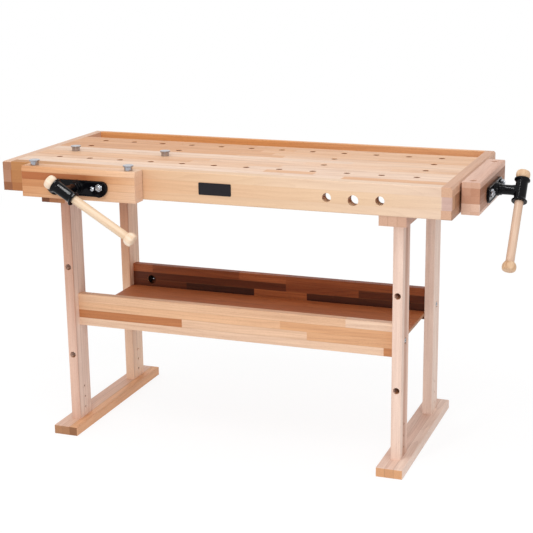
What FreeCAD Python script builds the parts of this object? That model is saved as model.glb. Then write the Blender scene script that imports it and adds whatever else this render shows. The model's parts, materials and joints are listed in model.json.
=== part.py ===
import FreeCAD, Part
import math
import os

# Joiner's bench in beech: a framed top with a tool tray along its back, two trestles, two
# stretchers with a shelf between them, a front vise, a tail vise and four round bench dogs.
# X runs to the right, Y to the back and Z up. The origin is on the floor, under the middle of
# the top. The front vise faces -Y and the tail vise faces +X. Sizes are in millimetres.

# Top
BENCH_LENGTH = 1440.0
BENCH_DEPTH = 630.0
BENCH_HEIGHT = 900.0
RIM_HEIGHT = 93.0
CAP_THICK = 32.0
APRON_THICK = 36.0
REAR_RAIL_THICK = 24.0
SLAB_THICK = 34.0
TRAY_WIDTH = 106.0
TRAY_DEPTH = 50.0
TRAY_BOARD_THICK = 9.0
TRAY_RAIL_THICK = 24.0
TRAY_GROOVE = 6.0
FINGER_SHOULDER = 27.0
TONGUE_THICK = 12.0
TONGUE_LENGTH = 10.0
RIM_ARRIS = 2.0
CAP_CHAMFER = 5.5

# Dog holes and dogs
DOG_HOLE = 20.0
DOG_HOLE_ARRIS = 1.0
DOG_PITCH = 106.5
DOG_COLUMNS = 12
DOG_ROWS = 4
DOG_FIRST_ROW = 91.5          # from the apron's back face to the first row
CORNER_COLUMNS = 3            # the inner rows have holes only at this pitch from each end
DOG_CLEARANCE = 0.08
DOG_SHANK = 60.0
DOG_BODY = 25.5
DOG_BODY_HEIGHT = 12.0
DOG_CAP = 32.5
DOG_CAP_HEIGHT = 5.0
DOG_CAP_ROUND = 1.2

# Trestles
TRESTLE_INSET = 173.0         # from the end of the bench to the middle of a trestle
BEAM_WIDTH = 83.0
BEAM_THICK = 30.0
BEARER_RECESS = 3.0
LEG_THICK = 31.0
LEG_WIDTH = 80.0
LEG_INSET = 113.0             # from the front or the back of the bench to the middle of a leg
TENON_THICK = 15.0
TENON_WIDTH = 50.0
TENON_LENGTH = 20.0
MORTISE_SPARE = 1.0
WOOD_ARRIS = 2.0
LEG_DOG_HEIGHTS = (253.0, 550.0)
LEG_DOG_DEPTH = 45.0
PEG_HOLE = 8.0
PEG_FIRST_HEIGHT = 60.0
PEG_PITCH = 37.0
PEG_COUNT = 3

# Stretchers and shelf
STRETCHER_THICK = 26.0
STRETCHER_HEIGHT = 106.0
STRETCHER_BOTTOM = 349.0
STRETCHER_SETBACK = 29.0
SHELF_TOP = 380.0
SHELF_THICK = 10.0
SHELF_END_GAP = 0.5
SHELF_BACK_GAP = 8.0
LEDGER_SIZE = 20.0
LEDGER_END_GAP = 40.0
LEDGER_SCREWS = 3

# Knock-down bolts and dowels
BOLT_SIZE = 8.0
BOLT_HOLE_CLEARANCE = 0.5
BOLT_HEAD = 15.0
BOLT_HEAD_HEIGHT = 5.0
BOLT_HEAD_ROUND = 3.8
BOLT_SOCKET = 6.0             # across the flats of the socket in the head
BOLT_SOCKET_DEPTH = 3.0
BOLT_NUT_FLATS = 13.0
BOLT_NUT_HEIGHT = 6.5
BOLT_TAIL = 5.0
WASHER_SIZE = 18.0
WASHER_THICK = 1.6
COUNTERBORE = 20.0
COUNTERBORE_DEPTH = 6.0
POCKET_SIZE = 32.0
POCKET_DEPTH = 20.0
POCKET_INSET = 70.5
SADDLE_THICK = 9.0
SADDLE_WIDTH = 14.0
FIT_CLEARANCE = 0.1
DOWEL_SIZE = 10.0
DOWEL_SPREAD = 32.0
DOWEL_IN_LEG = 15.0
DOWEL_IN_RAIL = 25.0
HOLE_SPARE = 1.0              # a blind hole is this much deeper than what it holds

# Coach screws and wood screws
COACH_SIZE = 8.0
COACH_GRIP = 40.0
COACH_HEAD_FLATS = 13.0
COACH_HEAD_HEIGHT = 5.3
COACH_COUNTERBORE = 22.0
COACH_COUNTERBORE_DEPTH = 8.0
WOOD_SCREW = 4.0
WOOD_SCREW_HEAD = 8.0
WOOD_SCREW_GRIP = 15.0

# Name plate
PLATE_LENGTH = 104.0
PLATE_HEIGHT = 37.0
PLATE_THICK = 1.5
PLATE_ROUND = 3.0
PLATE_X = 1.0
PLATE_DROP = 47.5             # from the top of the bench to the middle of the plate

# Both vises
SCREW_DROP = 54.0             # from the top of the bench down to the screw
ROD_RISE = 4.0                # the guide rods lie this much above the screw
ROD_SPACING = 160.0
SCREW_HOLE = 32.0
ROD_HOLE = 27.0
JAW_THICK = 55.0
JAW_DROP = 2.0
JAW_END = 32.75               # from a jaw's dog hole to its end
JAW_PITCHES = 3               # dog-hole pitches between a jaw's two dog holes
FRONT_JAW_GAP = 3.0
TAIL_JAW_GAP = 4.5
JAW_ARRIS = 2.5
JAW_LIP_DEPTH = 5.0
JAW_LIP_DROP = 14.0
SPARE_INSET = 290.0           # from the right end of the bench to the middle spare hole

# Cast face plate of a vise
FACE_LENGTH = 206.0
FACE_HEIGHT = 48.0
FACE_DROP = 2.0
FACE_BASE = 6.5
FACE_RIM = 2.5
FACE_RIM_WIDTH = 4.0
FACE_BELLY = 4.0
FACE_BOSS = 40.0
FACE_BOSS_REACH = 20.0
FACE_BOLT_SPACING = 107.0
FACE_BOLT_GRIP = 42.0

# Guide rods
ROD_SIZE = 20.0
ROD_TAIL = 260.0              # from the bench's face back to the inner ends of rods and screw
ROD_RUNNING = 0.05
STUD_SIZE = 14.0
STUD_CLEARANCE = 0.5
STUD_REACH = 15.0
STUD_NUT_FLATS = 21.0
STUD_NUT_HEIGHT = 9.0
STUD_WASHER = 27.0
STUD_WASHER_THICK = 2.5

# Screw, hub and handle
SCREW_SIZE = 24.0
SCREW_RUNNING = 0.1
JOURNAL_SIZE = 26.0
JOURNAL_RUNNING = 0.1
COLLAR_SIZE = 30.5
COLLAR_THICK = 7.0
THRUST_GAP = 0.2
NOSE_SIZE = 30.0
HUB_REACH = 83.0              # from the jaw's face to the handle's centre line
HUB_SIZE = 36.0
HUB_LENGTH = 76.0
HUB_FLANGE = 47.0
HUB_FLANGE_THICK = 6.0
HUB_FLARE = 6.0
HUB_ROUND = 1.5
HANDLE_SIZE = 26.0
HANDLE_CLEARANCE = 0.5
HANDLE_SPAN = 325.0
HANDLE_SEAT = 0.2
KNOB_SIZE = 42.5
KNOB_LENGTH = 26.0
KNOB_ROUND = 9.0
KNOB_NECK_ROUND = 3.0
KNOB_SPIGOT = 20.0
KNOB_SPIGOT_LENGTH = 16.0
FRONT_HANDLE_ANGLE = 148.6    # of the upper end, from the level line along the jaw
TAIL_HANDLE_ANGLE = 52.0

# Cast bracket behind the bench's face
BRACKET_PLATE = 8.0
BRACKET_LENGTH = 204.0
BRACKET_ABOVE = 18.0
BRACKET_BELOW = 34.0
BRACKET_ROUND = 6.0
NUT_BOSS = 38.0
NUT_LENGTH = 40.0
SLEEVE_SIZE = 30.0
SLEEVE_LENGTH = 60.0
WEB_TOP = 0.0
WEB_BOTTOM = -10.0
BRACKET_SCREW_X = 42.0
BRACKET_SCREW_HIGH = 9.0
BRACKET_SCREW_LOW = -25.0
BRACKET_SCREW_GRIP = 24.0

Vector = FreeCAD.Vector
AXIS_X = Vector(1, 0, 0)
AXIS_Y = Vector(0, 1, 0)
AXIS_Z = Vector(0, 0, 1)
CUT = 5.0                     # how far a cutting shape runs past the face it cuts

# Places that follow from the sizes
half_length = BENCH_LENGTH / 2
cap_inner = half_length - CAP_THICK
front_face = -BENCH_DEPTH / 2
back_face = BENCH_DEPTH / 2
apron_back = front_face + APRON_THICK
rail_front = back_face - REAR_RAIL_THICK
slab_back = rail_front - TRAY_WIDTH
tray_rail_front = slab_back - TRAY_RAIL_THICK
rim_bottom = BENCH_HEIGHT - RIM_HEIGHT
slab_bottom = BENCH_HEIGHT - SLAB_THICK
tray_top = BENCH_HEIGHT - TRAY_DEPTH
tray_bottom = tray_top - TRAY_BOARD_THICK
bearer_bottom = rim_bottom - BEAM_THICK
screw_height = BENCH_HEIGHT - SCREW_DROP
trestle_x = half_length - TRESTLE_INSET
leg_y = back_face - LEG_INSET
spare_x = half_length - SPARE_INSET
plate_z = BENCH_HEIGHT - PLATE_DROP
dog_row_front = apron_back + DOG_FIRST_ROW
leg_inner = trestle_x - LEG_THICK / 2
leg_outer = trestle_x + LEG_THICK / 2
stretcher_mid_z = STRETCHER_BOTTOM + STRETCHER_HEIGHT / 2
hub_half = HUB_LENGTH / 2
rod_half = ROD_SPACING / 2


def dog_x(column):
    return (column - (DOG_COLUMNS - 1) / 2) * DOG_PITCH


def dog_y(row):
    return dog_row_front + row * DOG_PITCH


def block(x0, x1, y0, y1, z0, z1):
    return Part.makeBox(x1 - x0, y1 - y0, z1 - z0, Vector(x0, y0, z0))


def round_bar(size, start, length, direction):
    """A cylinder of diameter size from the point start."""
    return Part.makeCylinder(size / 2, length, start, direction)


def six_sided(flats, bottom, height):
    """An upright six-sided prism of the given width across its flats."""
    corner = flats / math.sqrt(3)
    turns = [math.radians(60 * i) for i in range(7)]
    points = [Vector(corner * math.cos(turn), corner * math.sin(turn), bottom) for turn in turns]
    return Part.Face(Part.makePolygon(points)).extrude(Vector(0, 0, height))


def hexagon(flats, start, height, direction):
    """A nut blank of the given width across its flats, with its outer corners taken off."""
    prism = six_sided(flats, 0, height)
    corner = flats / math.sqrt(3)
    dome = Part.makeCylinder(corner, height)
    dome = dome.makeChamfer(flats * 0.09, [edge_at_height(dome, height)])
    prism = prism.common(dome)
    prism.Placement = FreeCAD.Placement(start, FreeCAD.Rotation(AXIS_Z, direction))
    return prism


def edge_at_height(shape, height):
    """The round edge of a turned shape that lies at one height."""
    return [e for e in shape.Edges if e.Closed and abs(e.CenterOfMass.z - height) < 1e-6][0]


def edges_along(shape, axis, keep=None):
    """The straight edges that run along an axis, or those of them that keep() picks."""
    found = [e for e in shape.Edges
             if len(e.Vertexes) == 2 and abs(abs(e.tangentAt(e.FirstParameter).dot(axis)) - 1) < 1e-6]
    return [e for e in found if keep is None or keep(e.CenterOfMass)]


def board(x0, x1, y0, y1, z0, z1, axis, arris=WOOD_ARRIS):
    """A planed board with an arris along its grain."""
    plain = block(x0, x1, y0, y1, z0, z1)
    return plain.makeFillet(arris, edges_along(plain, axis))


def eased_bar(x0, x1, y0, y1, z0, z1, arris=WOOD_ARRIS):
    """A planed bar with an arris on every edge."""
    plain = block(x0, x1, y0, y1, z0, z1)
    return plain.makeFillet(arris, plain.Edges)


def mirrored(shape):
    """The same piece on the other side of the bench's middle."""
    return shape.mirror(Vector(0, 0, 0), AXIS_X)


# ---------------------------------------------------------------- top

def rim_blank():
    """The outside of the framed top, with the arrises that run round all its pieces."""
    blank = block(-half_length, half_length, front_face, back_face, rim_bottom, BENCH_HEIGHT)
    ends = edges_along(blank, AXIS_Y, lambda c: c.z > BENCH_HEIGHT - 1)
    blank = blank.makeChamfer(CAP_CHAMFER, ends)
    corners = edges_along(blank, AXIS_Z)
    blank = blank.makeChamfer(RIM_ARRIS, corners)
    long_edges = edges_along(blank, AXIS_X)
    return blank.makeChamfer(RIM_ARRIS, long_edges)


def rim_piece(y0, y1):
    """A long rail of the rim: a board between the caps and a finger through each cap."""
    plain = block(-cap_inner, cap_inner, y0, y1, rim_bottom, BENCH_HEIGHT)
    finger = block(-half_length, half_length, y0, y1,
                   rim_bottom + FINGER_SHOULDER, BENCH_HEIGHT - FINGER_SHOULDER)
    return rim_blank().common(plain.fuse(finger).removeSplitter())


def vise_pattern(x, y, direction):
    """The three holes that a vise's rods and screw pass through, at one place on a face."""
    along = AXIS_X if abs(direction.y) > 0.5 else AXIS_Y
    depth = APRON_THICK + CAP_THICK + 2 * CUT
    centre = Vector(x, y, screw_height)
    holes = round_bar(SCREW_HOLE, centre, depth, direction)
    for side in (-1, 1):
        start = centre + along * (side * rod_half) + AXIS_Z * ROD_RISE
        holes = holes.fuse(round_bar(ROD_HOLE, start, depth, direction))
    return holes


def bracket_screw_places():
    return [(u, z) for u in (-BRACKET_SCREW_X, BRACKET_SCREW_X)
            for z in (BRACKET_SCREW_HIGH, BRACKET_SCREW_LOW)]


def coach_place_y():
    """Where the bearers' coach screws go up: the middle of the apron and of the rear rail."""
    return (front_face + APRON_THICK / 2, back_face - REAR_RAIL_THICK / 2)


def front_apron():
    shape = rim_piece(front_face, apron_back)
    for x in (front_vise_x, spare_x):
        shape = shape.cut(vise_pattern(x, front_face - CUT, AXIS_Y))
    for u, z in bracket_screw_places():
        start = Vector(front_vise_x + u, apron_back + CUT, screw_height + z)
        shape = shape.cut(round_bar(COACH_SIZE + FIT_CLEARANCE, start, BRACKET_SCREW_GRIP + CUT, -AXIS_Y))
    return shape.cut(coach_holes(coach_place_y()[0]))


def coach_holes(y):
    """Blind holes up from the bottom of a rim rail for the bearers' coach screws."""
    holes = [round_bar(COACH_SIZE + FIT_CLEARANCE, Vector(side * trestle_x, y, rim_bottom - CUT),
                       COACH_GRIP + HOLE_SPARE + CUT, AXIS_Z) for side in (-1, 1)]
    return Part.makeCompound(holes)


def tray_panel():
    """The tray's board, let into grooves on all four sides."""
    return block(-cap_inner - TRAY_GROOVE, cap_inner + TRAY_GROOVE, slab_back - TRAY_GROOVE,
                 rail_front + TRAY_GROOVE, tray_bottom, tray_top)


def rear_rail():
    shape = rim_piece(rail_front, back_face).cut(tray_panel())
    return shape.cut(coach_holes(coach_place_y()[1]))


def tray_rail():
    plain = block(-cap_inner, cap_inner, tray_rail_front, slab_back, rim_bottom, slab_bottom)
    return plain.cut(tray_panel())


def slab_blank():
    """The glued-up slab with the tongues that enter the end caps."""
    slab = block(-cap_inner, cap_inner, apron_back, slab_back, slab_bottom, BENCH_HEIGHT)
    tongue_low = slab_bottom + (SLAB_THICK - TONGUE_THICK) / 2
    tongue = block(-cap_inner - TONGUE_LENGTH, cap_inner + TONGUE_LENGTH, apron_back, slab_back,
                   tongue_low, tongue_low + TONGUE_THICK)
    return slab.fuse(tongue).removeSplitter()


def dog_hole_cutter(x, y, depth):
    """A dog hole down from the top of the bench, with its rim broken."""
    hole = round_bar(DOG_HOLE, Vector(x, y, BENCH_HEIGHT - depth - CUT), depth + 2 * CUT, AXIS_Z)
    rim = Part.makeCone(DOG_HOLE / 2, DOG_HOLE / 2 + 2 * DOG_HOLE_ARRIS, 2 * DOG_HOLE_ARRIS,
                        Vector(x, y, BENCH_HEIGHT - DOG_HOLE_ARRIS))
    return hole.fuse(rim)


def dog_hole_places():
    """Full rows along the front and the back, and four columns of holes between them."""
    last = DOG_COLUMNS - 1
    corner_columns = (0, CORNER_COLUMNS, last - CORNER_COLUMNS, last)
    return [(dog_x(i), dog_y(j)) for j in range(DOG_ROWS) for i in range(DOG_COLUMNS)
            if j in (0, DOG_ROWS - 1) or i in corner_columns]


def top_slab():
    holes = [dog_hole_cutter(x, y, SLAB_THICK) for x, y in dog_hole_places()]
    return slab_blank().cut(Part.makeCompound(holes))


def end_cap():
    """The right-hand cap, open for the rails' fingers, the slab's tongue and the tray board."""
    plain = block(cap_inner, half_length, front_face, back_face, rim_bottom, BENCH_HEIGHT)
    shape = rim_blank().common(plain)
    for rail in (rim_piece(front_face, apron_back), rim_piece(rail_front, back_face)):
        shape = shape.cut(rail)
    return shape.cut(slab_blank()).cut(tray_panel())


def end_cap_right():
    shape = end_cap().cut(vise_pattern(half_length + CUT, tail_vise_y, -AXIS_X))
    for u, z in bracket_screw_places():
        start = Vector(cap_inner - CUT, tail_vise_y + u, screw_height + z)
        shape = shape.cut(round_bar(COACH_SIZE + FIT_CLEARANCE, start, BRACKET_SCREW_GRIP + CUT, AXIS_X))
    return shape


def name_plate():
    """A thin plate with rounded corners, bare, on the front of the apron."""
    plate = block(PLATE_X - PLATE_LENGTH / 2, PLATE_X + PLATE_LENGTH / 2,
                  front_face - PLATE_THICK, front_face,
                  plate_z - PLATE_HEIGHT / 2, plate_z + PLATE_HEIGHT / 2)
    return plate.makeFillet(PLATE_ROUND, edges_along(plate, AXIS_Y))


# ---------------------------------------------------------------- trestles

def tenon(y, z0, z1):
    return block(trestle_x - TENON_THICK / 2, trestle_x + TENON_THICK / 2,
                 y - TENON_WIDTH / 2, y + TENON_WIDTH / 2, z0, z1)


def foot():
    plain = eased_bar(trestle_x - BEAM_WIDTH / 2, trestle_x + BEAM_WIDTH / 2,
                      front_face, back_face, 0, BEAM_THICK)
    for y in (-leg_y, leg_y):
        plain = plain.cut(tenon(y, BEAM_THICK - TENON_LENGTH - MORTISE_SPARE, BEAM_THICK + CUT))
    return plain


def bearer():
    plain = board(trestle_x - BEAM_WIDTH / 2, trestle_x + BEAM_WIDTH / 2,
                  front_face + BEARER_RECESS, back_face - BEARER_RECESS,
                  bearer_bottom, rim_bottom, AXIS_Z)
    for y in (-leg_y, leg_y):
        plain = plain.cut(tenon(y, bearer_bottom - CUT, bearer_bottom + TENON_LENGTH + MORTISE_SPARE))
    for y in coach_place_y():
        start = Vector(trestle_x, y, bearer_bottom - CUT)
        plain = plain.cut(round_bar(COACH_SIZE + 2 * BOLT_HOLE_CLEARANCE, start,
                                    BEAM_THICK + 2 * CUT, AXIS_Z))
        plain = plain.cut(round_bar(COACH_COUNTERBORE, start, COACH_COUNTERBORE_DEPTH + CUT, AXIS_Z))
    return plain


def coach_screw(start, grip, direction):
    """A hexagon coach screw whose head seats at start, with a plain round shank."""
    head = hexagon(COACH_HEAD_FLATS, start - direction * COACH_HEAD_HEIGHT, COACH_HEAD_HEIGHT, direction)
    shank = round_bar(COACH_SIZE, start, grip, direction)
    return head.fuse(shank)


def top_coach_screws():
    seat = bearer_bottom + COACH_COUNTERBORE_DEPTH
    grip = rim_bottom + COACH_GRIP - seat
    return Part.makeCompound([coach_screw(Vector(side * trestle_x, y, seat), grip, AXIS_Z)
                              for side in (-1, 1) for y in coach_place_y()])


def stretcher_front_face(leg_middle):
    return leg_middle - LEG_WIDTH / 2 + STRETCHER_SETBACK


def stretcher_middle(leg_middle):
    return stretcher_front_face(leg_middle) + STRETCHER_THICK / 2


def dowel_heights():
    return (stretcher_mid_z - DOWEL_SPREAD, stretcher_mid_z + DOWEL_SPREAD)


def leg(y):
    """A right-hand leg with its tenons, bolt hole, dowel holes and peg holes."""
    shape = board(leg_inner, leg_outer, y - LEG_WIDTH / 2, y + LEG_WIDTH / 2,
                  BEAM_THICK, bearer_bottom, AXIS_Z)
    shape = shape.fuse(tenon(y, BEAM_THICK - TENON_LENGTH, BEAM_THICK))
    shape = shape.fuse(tenon(y, bearer_bottom, bearer_bottom + TENON_LENGTH))
    bolt_y = stretcher_middle(y)
    across = LEG_THICK + 2 * CUT
    start = Vector(leg_inner - CUT, bolt_y, stretcher_mid_z)
    shape = shape.cut(round_bar(BOLT_SIZE + 2 * BOLT_HOLE_CLEARANCE, start, across, AXIS_X))
    start = Vector(leg_outer - COUNTERBORE_DEPTH, bolt_y, stretcher_mid_z)
    shape = shape.cut(round_bar(COUNTERBORE, start, COUNTERBORE_DEPTH + CUT, AXIS_X))
    for z in dowel_heights():
        start = Vector(leg_inner - CUT, bolt_y, z)
        shape = shape.cut(round_bar(DOWEL_SIZE, start, DOWEL_IN_LEG + HOLE_SPARE + CUT, AXIS_X))
    for i in range(PEG_COUNT):
        start = Vector(leg_inner - CUT, y, PEG_FIRST_HEIGHT + i * PEG_PITCH)
        shape = shape.cut(round_bar(PEG_HOLE, start, across, AXIS_X))
    return shape


def front_leg():
    """A front leg also has two dog holes in its front face."""
    shape = leg(-leg_y)
    for z in LEG_DOG_HEIGHTS:
        start = Vector(trestle_x, -leg_y - LEG_WIDTH / 2 - CUT, z)
        shape = shape.cut(round_bar(DOG_HOLE, start, LEG_DOG_DEPTH + CUT, AXIS_Y))
    return shape


# ---------------------------------------------------------------- stretchers and shelf

def stretcher(leg_middle, inner_face, inward):
    """A rail between the trestles, with a nut pocket in its inner face near each end."""
    y0 = stretcher_front_face(leg_middle)
    shape = board(-leg_inner, leg_inner, y0, y0 + STRETCHER_THICK,
                  STRETCHER_BOTTOM, STRETCHER_BOTTOM + STRETCHER_HEIGHT, AXIS_X)
    mid_y = stretcher_middle(leg_middle)
    for side in (-1, 1):
        inwards = AXIS_X * -side
        end = side * (leg_inner + CUT)
        start = Vector(end, mid_y, stretcher_mid_z)
        bolt_hole = BOLT_SIZE + 2 * BOLT_HOLE_CLEARANCE
        shape = shape.cut(round_bar(bolt_hole, start, POCKET_INSET + CUT, inwards))
        pocket_x = side * (leg_inner - POCKET_INSET)
        start = Vector(pocket_x, inner_face - inward * POCKET_DEPTH, stretcher_mid_z)
        shape = shape.cut(round_bar(POCKET_SIZE, start, POCKET_DEPTH + CUT, AXIS_Y * inward))
        for z in dowel_heights():
            start = Vector(end, mid_y, z)
            shape = shape.cut(round_bar(DOWEL_SIZE, start, DOWEL_IN_RAIL + HOLE_SPARE + CUT, inwards))
    for x in ledger_screw_places():
        start = Vector(x, inner_face + inward * CUT, ledger_mid_z)
        shape = shape.cut(round_bar(WOOD_SCREW, start, WOOD_SCREW_GRIP + CUT, AXIS_Y * -inward))
    return shape


def ledger_screw_places():
    half = leg_inner - LEDGER_END_GAP - LEDGER_SIZE
    return [-half + i * 2 * half / (LEDGER_SCREWS - 1) for i in range(LEDGER_SCREWS)]


def ledger(inner_face, inward):
    """A strip under the shelf, screwed to the inner face of a stretcher."""
    y0, y1 = sorted((inner_face, inner_face + inward * LEDGER_SIZE))
    shape = block(-leg_inner + LEDGER_END_GAP, leg_inner - LEDGER_END_GAP, y0, y1,
                  shelf_bottom - LEDGER_SIZE, shelf_bottom)
    return shape.cut(ledger_screws(inner_face, inward))


def ledger_screws(inner_face, inward):
    """Countersunk wood screws through a ledger into its stretcher."""
    screws = []
    for x in ledger_screw_places():
        face = Vector(x, inner_face + inward * LEDGER_SIZE, ledger_mid_z)
        taper = (WOOD_SCREW_HEAD - WOOD_SCREW) / 2
        head = Part.makeCone(WOOD_SCREW_HEAD / 2, WOOD_SCREW / 2, taper, face, AXIS_Y * -inward)
        shank = round_bar(WOOD_SCREW, face, LEDGER_SIZE + WOOD_SCREW_GRIP, AXIS_Y * -inward)
        screws.append(head.fuse(shank).removeSplitter())
    return Part.makeCompound(screws)


def shelf():
    """The shelf board lies on the two ledgers, against the front stretcher."""
    plain = block(-leg_inner + SHELF_END_GAP, leg_inner - SHELF_END_GAP,
                  front_inner_face, rear_inner_face - SHELF_BACK_GAP, shelf_bottom, SHELF_TOP)
    back = edges_along(plain, AXIS_X, lambda c: c.y > 0)
    return plain.makeFillet(WOOD_ARRIS / 2, back)


def bolt_places():
    """Each knock-down bolt: its side of the bench and its place in Y."""
    return [(side, stretcher_middle(y)) for side in (-1, 1) for y in (-leg_y, leg_y)]


saddle_seat = leg_inner - POCKET_INSET + POCKET_SIZE / 2 - SADDLE_THICK


def stretcher_bolts():
    bolts = []
    for side, y in bolt_places():
        out = AXIS_X * side
        seat = Vector(side * (leg_outer - COUNTERBORE_DEPTH + WASHER_THICK), y, stretcher_mid_z)
        reach = leg_outer - COUNTERBORE_DEPTH + WASHER_THICK - (saddle_seat - BOLT_NUT_HEIGHT - BOLT_TAIL)
        head = domed_head(seat, out)
        bolts.append(head.fuse(round_bar(BOLT_SIZE, seat, reach, -out)))
    return Part.makeCompound(bolts)


def domed_head(seat, out):
    """A round bolt head with a domed face and a six-sided socket in its middle."""
    dome = Part.makeCylinder(BOLT_HEAD / 2, BOLT_HEAD_HEIGHT)
    dome = dome.makeFillet(BOLT_HEAD_ROUND, [edge_at_height(dome, BOLT_HEAD_HEIGHT)])
    head = dome.cut(six_sided(BOLT_SOCKET, BOLT_HEAD_HEIGHT - BOLT_SOCKET_DEPTH, BOLT_SOCKET_DEPTH + CUT))
    head.Placement = FreeCAD.Placement(seat, FreeCAD.Rotation(AXIS_Z, out))
    return head


def stretcher_washers():
    washers = []
    for side, y in bolt_places():
        out = AXIS_X * side
        start = Vector(side * (leg_outer - COUNTERBORE_DEPTH), y, stretcher_mid_z)
        disc = round_bar(WASHER_SIZE, start, WASHER_THICK, out)
        washers.append(disc.cut(round_bar(BOLT_SIZE + FIT_CLEARANCE, start, WASHER_THICK, out)))
    return Part.makeCompound(washers)


def stretcher_nuts():
    nuts = []
    for side, y in bolt_places():
        inwards = AXIS_X * -side
        start = Vector(side * saddle_seat, y, stretcher_mid_z)
        nut = hexagon(BOLT_NUT_FLATS, start, BOLT_NUT_HEIGHT, inwards)
        nuts.append(nut.cut(round_bar(BOLT_SIZE + FIT_CLEARANCE, start, BOLT_NUT_HEIGHT, inwards)))
    return Part.makeCompound(nuts)


def stretcher_saddles():
    """Half-moon washers that fit the round wall of each nut pocket."""
    saddles = []
    for side, y in bolt_places():
        pocket_x = side * (leg_inner - POCKET_INSET)
        disc = round_bar(POCKET_SIZE, Vector(pocket_x, y - SADDLE_WIDTH / 2, stretcher_mid_z),
                         SADDLE_WIDTH, AXIS_Y)
        x0, x1 = sorted((side * saddle_seat, side * leg_inner))
        half_moon = disc.common(block(x0, x1, y - SADDLE_WIDTH, y + SADDLE_WIDTH,
                                      stretcher_mid_z - POCKET_SIZE, stretcher_mid_z + POCKET_SIZE))
        start = Vector(side * leg_inner, y, stretcher_mid_z)
        saddles.append(half_moon.cut(round_bar(BOLT_SIZE + 2 * BOLT_HOLE_CLEARANCE, start,
                                               POCKET_INSET, AXIS_X * -side)))
    return Part.makeCompound(saddles)


def stretcher_dowels():
    dowels = []
    for side, y in bolt_places():
        for z in dowel_heights():
            start = Vector(side * (leg_inner - DOWEL_IN_RAIL), y, z)
            dowels.append(round_bar(DOWEL_SIZE, start, DOWEL_IN_RAIL + DOWEL_IN_LEG, AXIS_X * side))
    return Part.makeCompound(dowels)


# ---------------------------------------------------------------- vises
# A vise is built in its own frame and then set on the bench. There X points out of the bench's
# face, Y runs along the jaw and Z is up. The screw is on the X axis, and X is 0 on the face.

def vise_bar(size, u, z, w0, w1):
    return round_bar(size, Vector(w0, u, z), w1 - w0, AXIS_X)


def rod_places():
    return [(-rod_half, ROD_RISE), (rod_half, ROD_RISE)]


def jaw(gap, lip_depth, lip_drop):
    """A wooden jaw with its vise holes, bolt holes and two dog holes."""
    top = SCREW_DROP
    bottom = SCREW_DROP - RIM_HEIGHT - JAW_DROP
    half = JAW_PITCHES * DOG_PITCH / 2 + JAW_END
    face = gap + JAW_THICK
    shape = block(gap, face, -half, half, bottom, top)
    lip = [Vector(face - lip_depth, -half, top), Vector(face, -half, top),
           Vector(face, -half, top - lip_drop)]
    shape = shape.cut(Part.Face(Part.makePolygon(lip + lip[:1])).extrude(AXIS_Y * (2 * half)))
    under = edges_along(shape, AXIS_Y, lambda c: c.z < bottom + 1)
    shape = shape.makeFillet(JAW_ARRIS, under + edges_along(shape, AXIS_Z))
    shape = shape.cut(vise_bar(SCREW_HOLE, 0, 0, gap - CUT, face + CUT))
    for u, z in rod_places():
        shape = shape.cut(vise_bar(ROD_HOLE, u, z, gap - CUT, face + CUT))
    for side in (-1, 1):
        shape = shape.cut(vise_bar(COACH_SIZE + FIT_CLEARANCE, side * FACE_BOLT_SPACING / 2, -FACE_DROP,
                                   face - FACE_BOLT_GRIP - HOLE_SPARE, face + CUT))
        hole = dog_hole_cutter(gap + JAW_THICK / 2, side * JAW_PITCHES * DOG_PITCH / 2,
                               RIM_HEIGHT + JAW_DROP)
        hole.translate(Vector(0, 0, -screw_height))
        shape = shape.cut(hole)
    return shape


def face_outline(inset, w):
    """The plate's outline: straight on top, round at both ends and bellied below."""
    radius = FACE_HEIGHT / 2 - inset
    reach = FACE_LENGTH / 2 - FACE_HEIGHT / 2
    middle = -FACE_DROP

    def at(u, z):
        return Vector(w, u, middle + z)

    edges = [Part.LineSegment(at(reach, radius), at(-reach, radius)),
             Part.Arc(at(-reach, radius), at(-reach - radius, 0), at(-reach, -radius)),
             Part.Arc(at(-reach, -radius), at(0, -radius - FACE_BELLY), at(reach, -radius)),
             Part.Arc(at(reach, -radius), at(reach + radius, 0), at(reach, radius))]
    return Part.Face(Part.Wire([e.toShape() for e in edges]))


def face_plate(face):
    """The cast plate on the jaw: a dished oval with a raised rim and a boss for the screw."""
    shape = face_outline(0, face).extrude(AXIS_X * (FACE_BASE + FACE_RIM))
    dish = face_outline(FACE_RIM_WIDTH, face + FACE_BASE).extrude(AXIS_X * (FACE_RIM + CUT))
    shape = shape.cut(dish)
    shape = shape.fuse(vise_bar(FACE_BOSS, 0, 0, face, face + FACE_BOSS_REACH))
    shape = shape.cut(vise_bar(JOURNAL_SIZE, 0, 0, face - CUT, face + FACE_BOSS_REACH + CUT))
    for u, z in rod_places():
        shape = shape.cut(vise_bar(STUD_SIZE + STUD_CLEARANCE, u, z, face - CUT, face + FACE_BOSS_REACH))
    for side in (-1, 1):
        shape = shape.cut(vise_bar(COACH_SIZE + 2 * BOLT_HOLE_CLEARANCE, side * FACE_BOLT_SPACING / 2,
                                   -FACE_DROP, face - CUT, face + FACE_BOSS_REACH))
    return shape


def face_bolts(face):
    bolts = [coach_screw(Vector(face + FACE_BASE, side * FACE_BOLT_SPACING / 2, -FACE_DROP),
                         FACE_BASE + FACE_BOLT_GRIP, -AXIS_X) for side in (-1, 1)]
    return Part.makeCompound(bolts)


def guide_rods(face):
    rods = []
    for u, z in rod_places():
        rod = vise_bar(ROD_SIZE, u, z, -ROD_TAIL, face)
        stud = vise_bar(STUD_SIZE, u, z, face, face + FACE_BASE + STUD_REACH)
        rods.append(rod.fuse(stud))
    return Part.makeCompound(rods)


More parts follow.
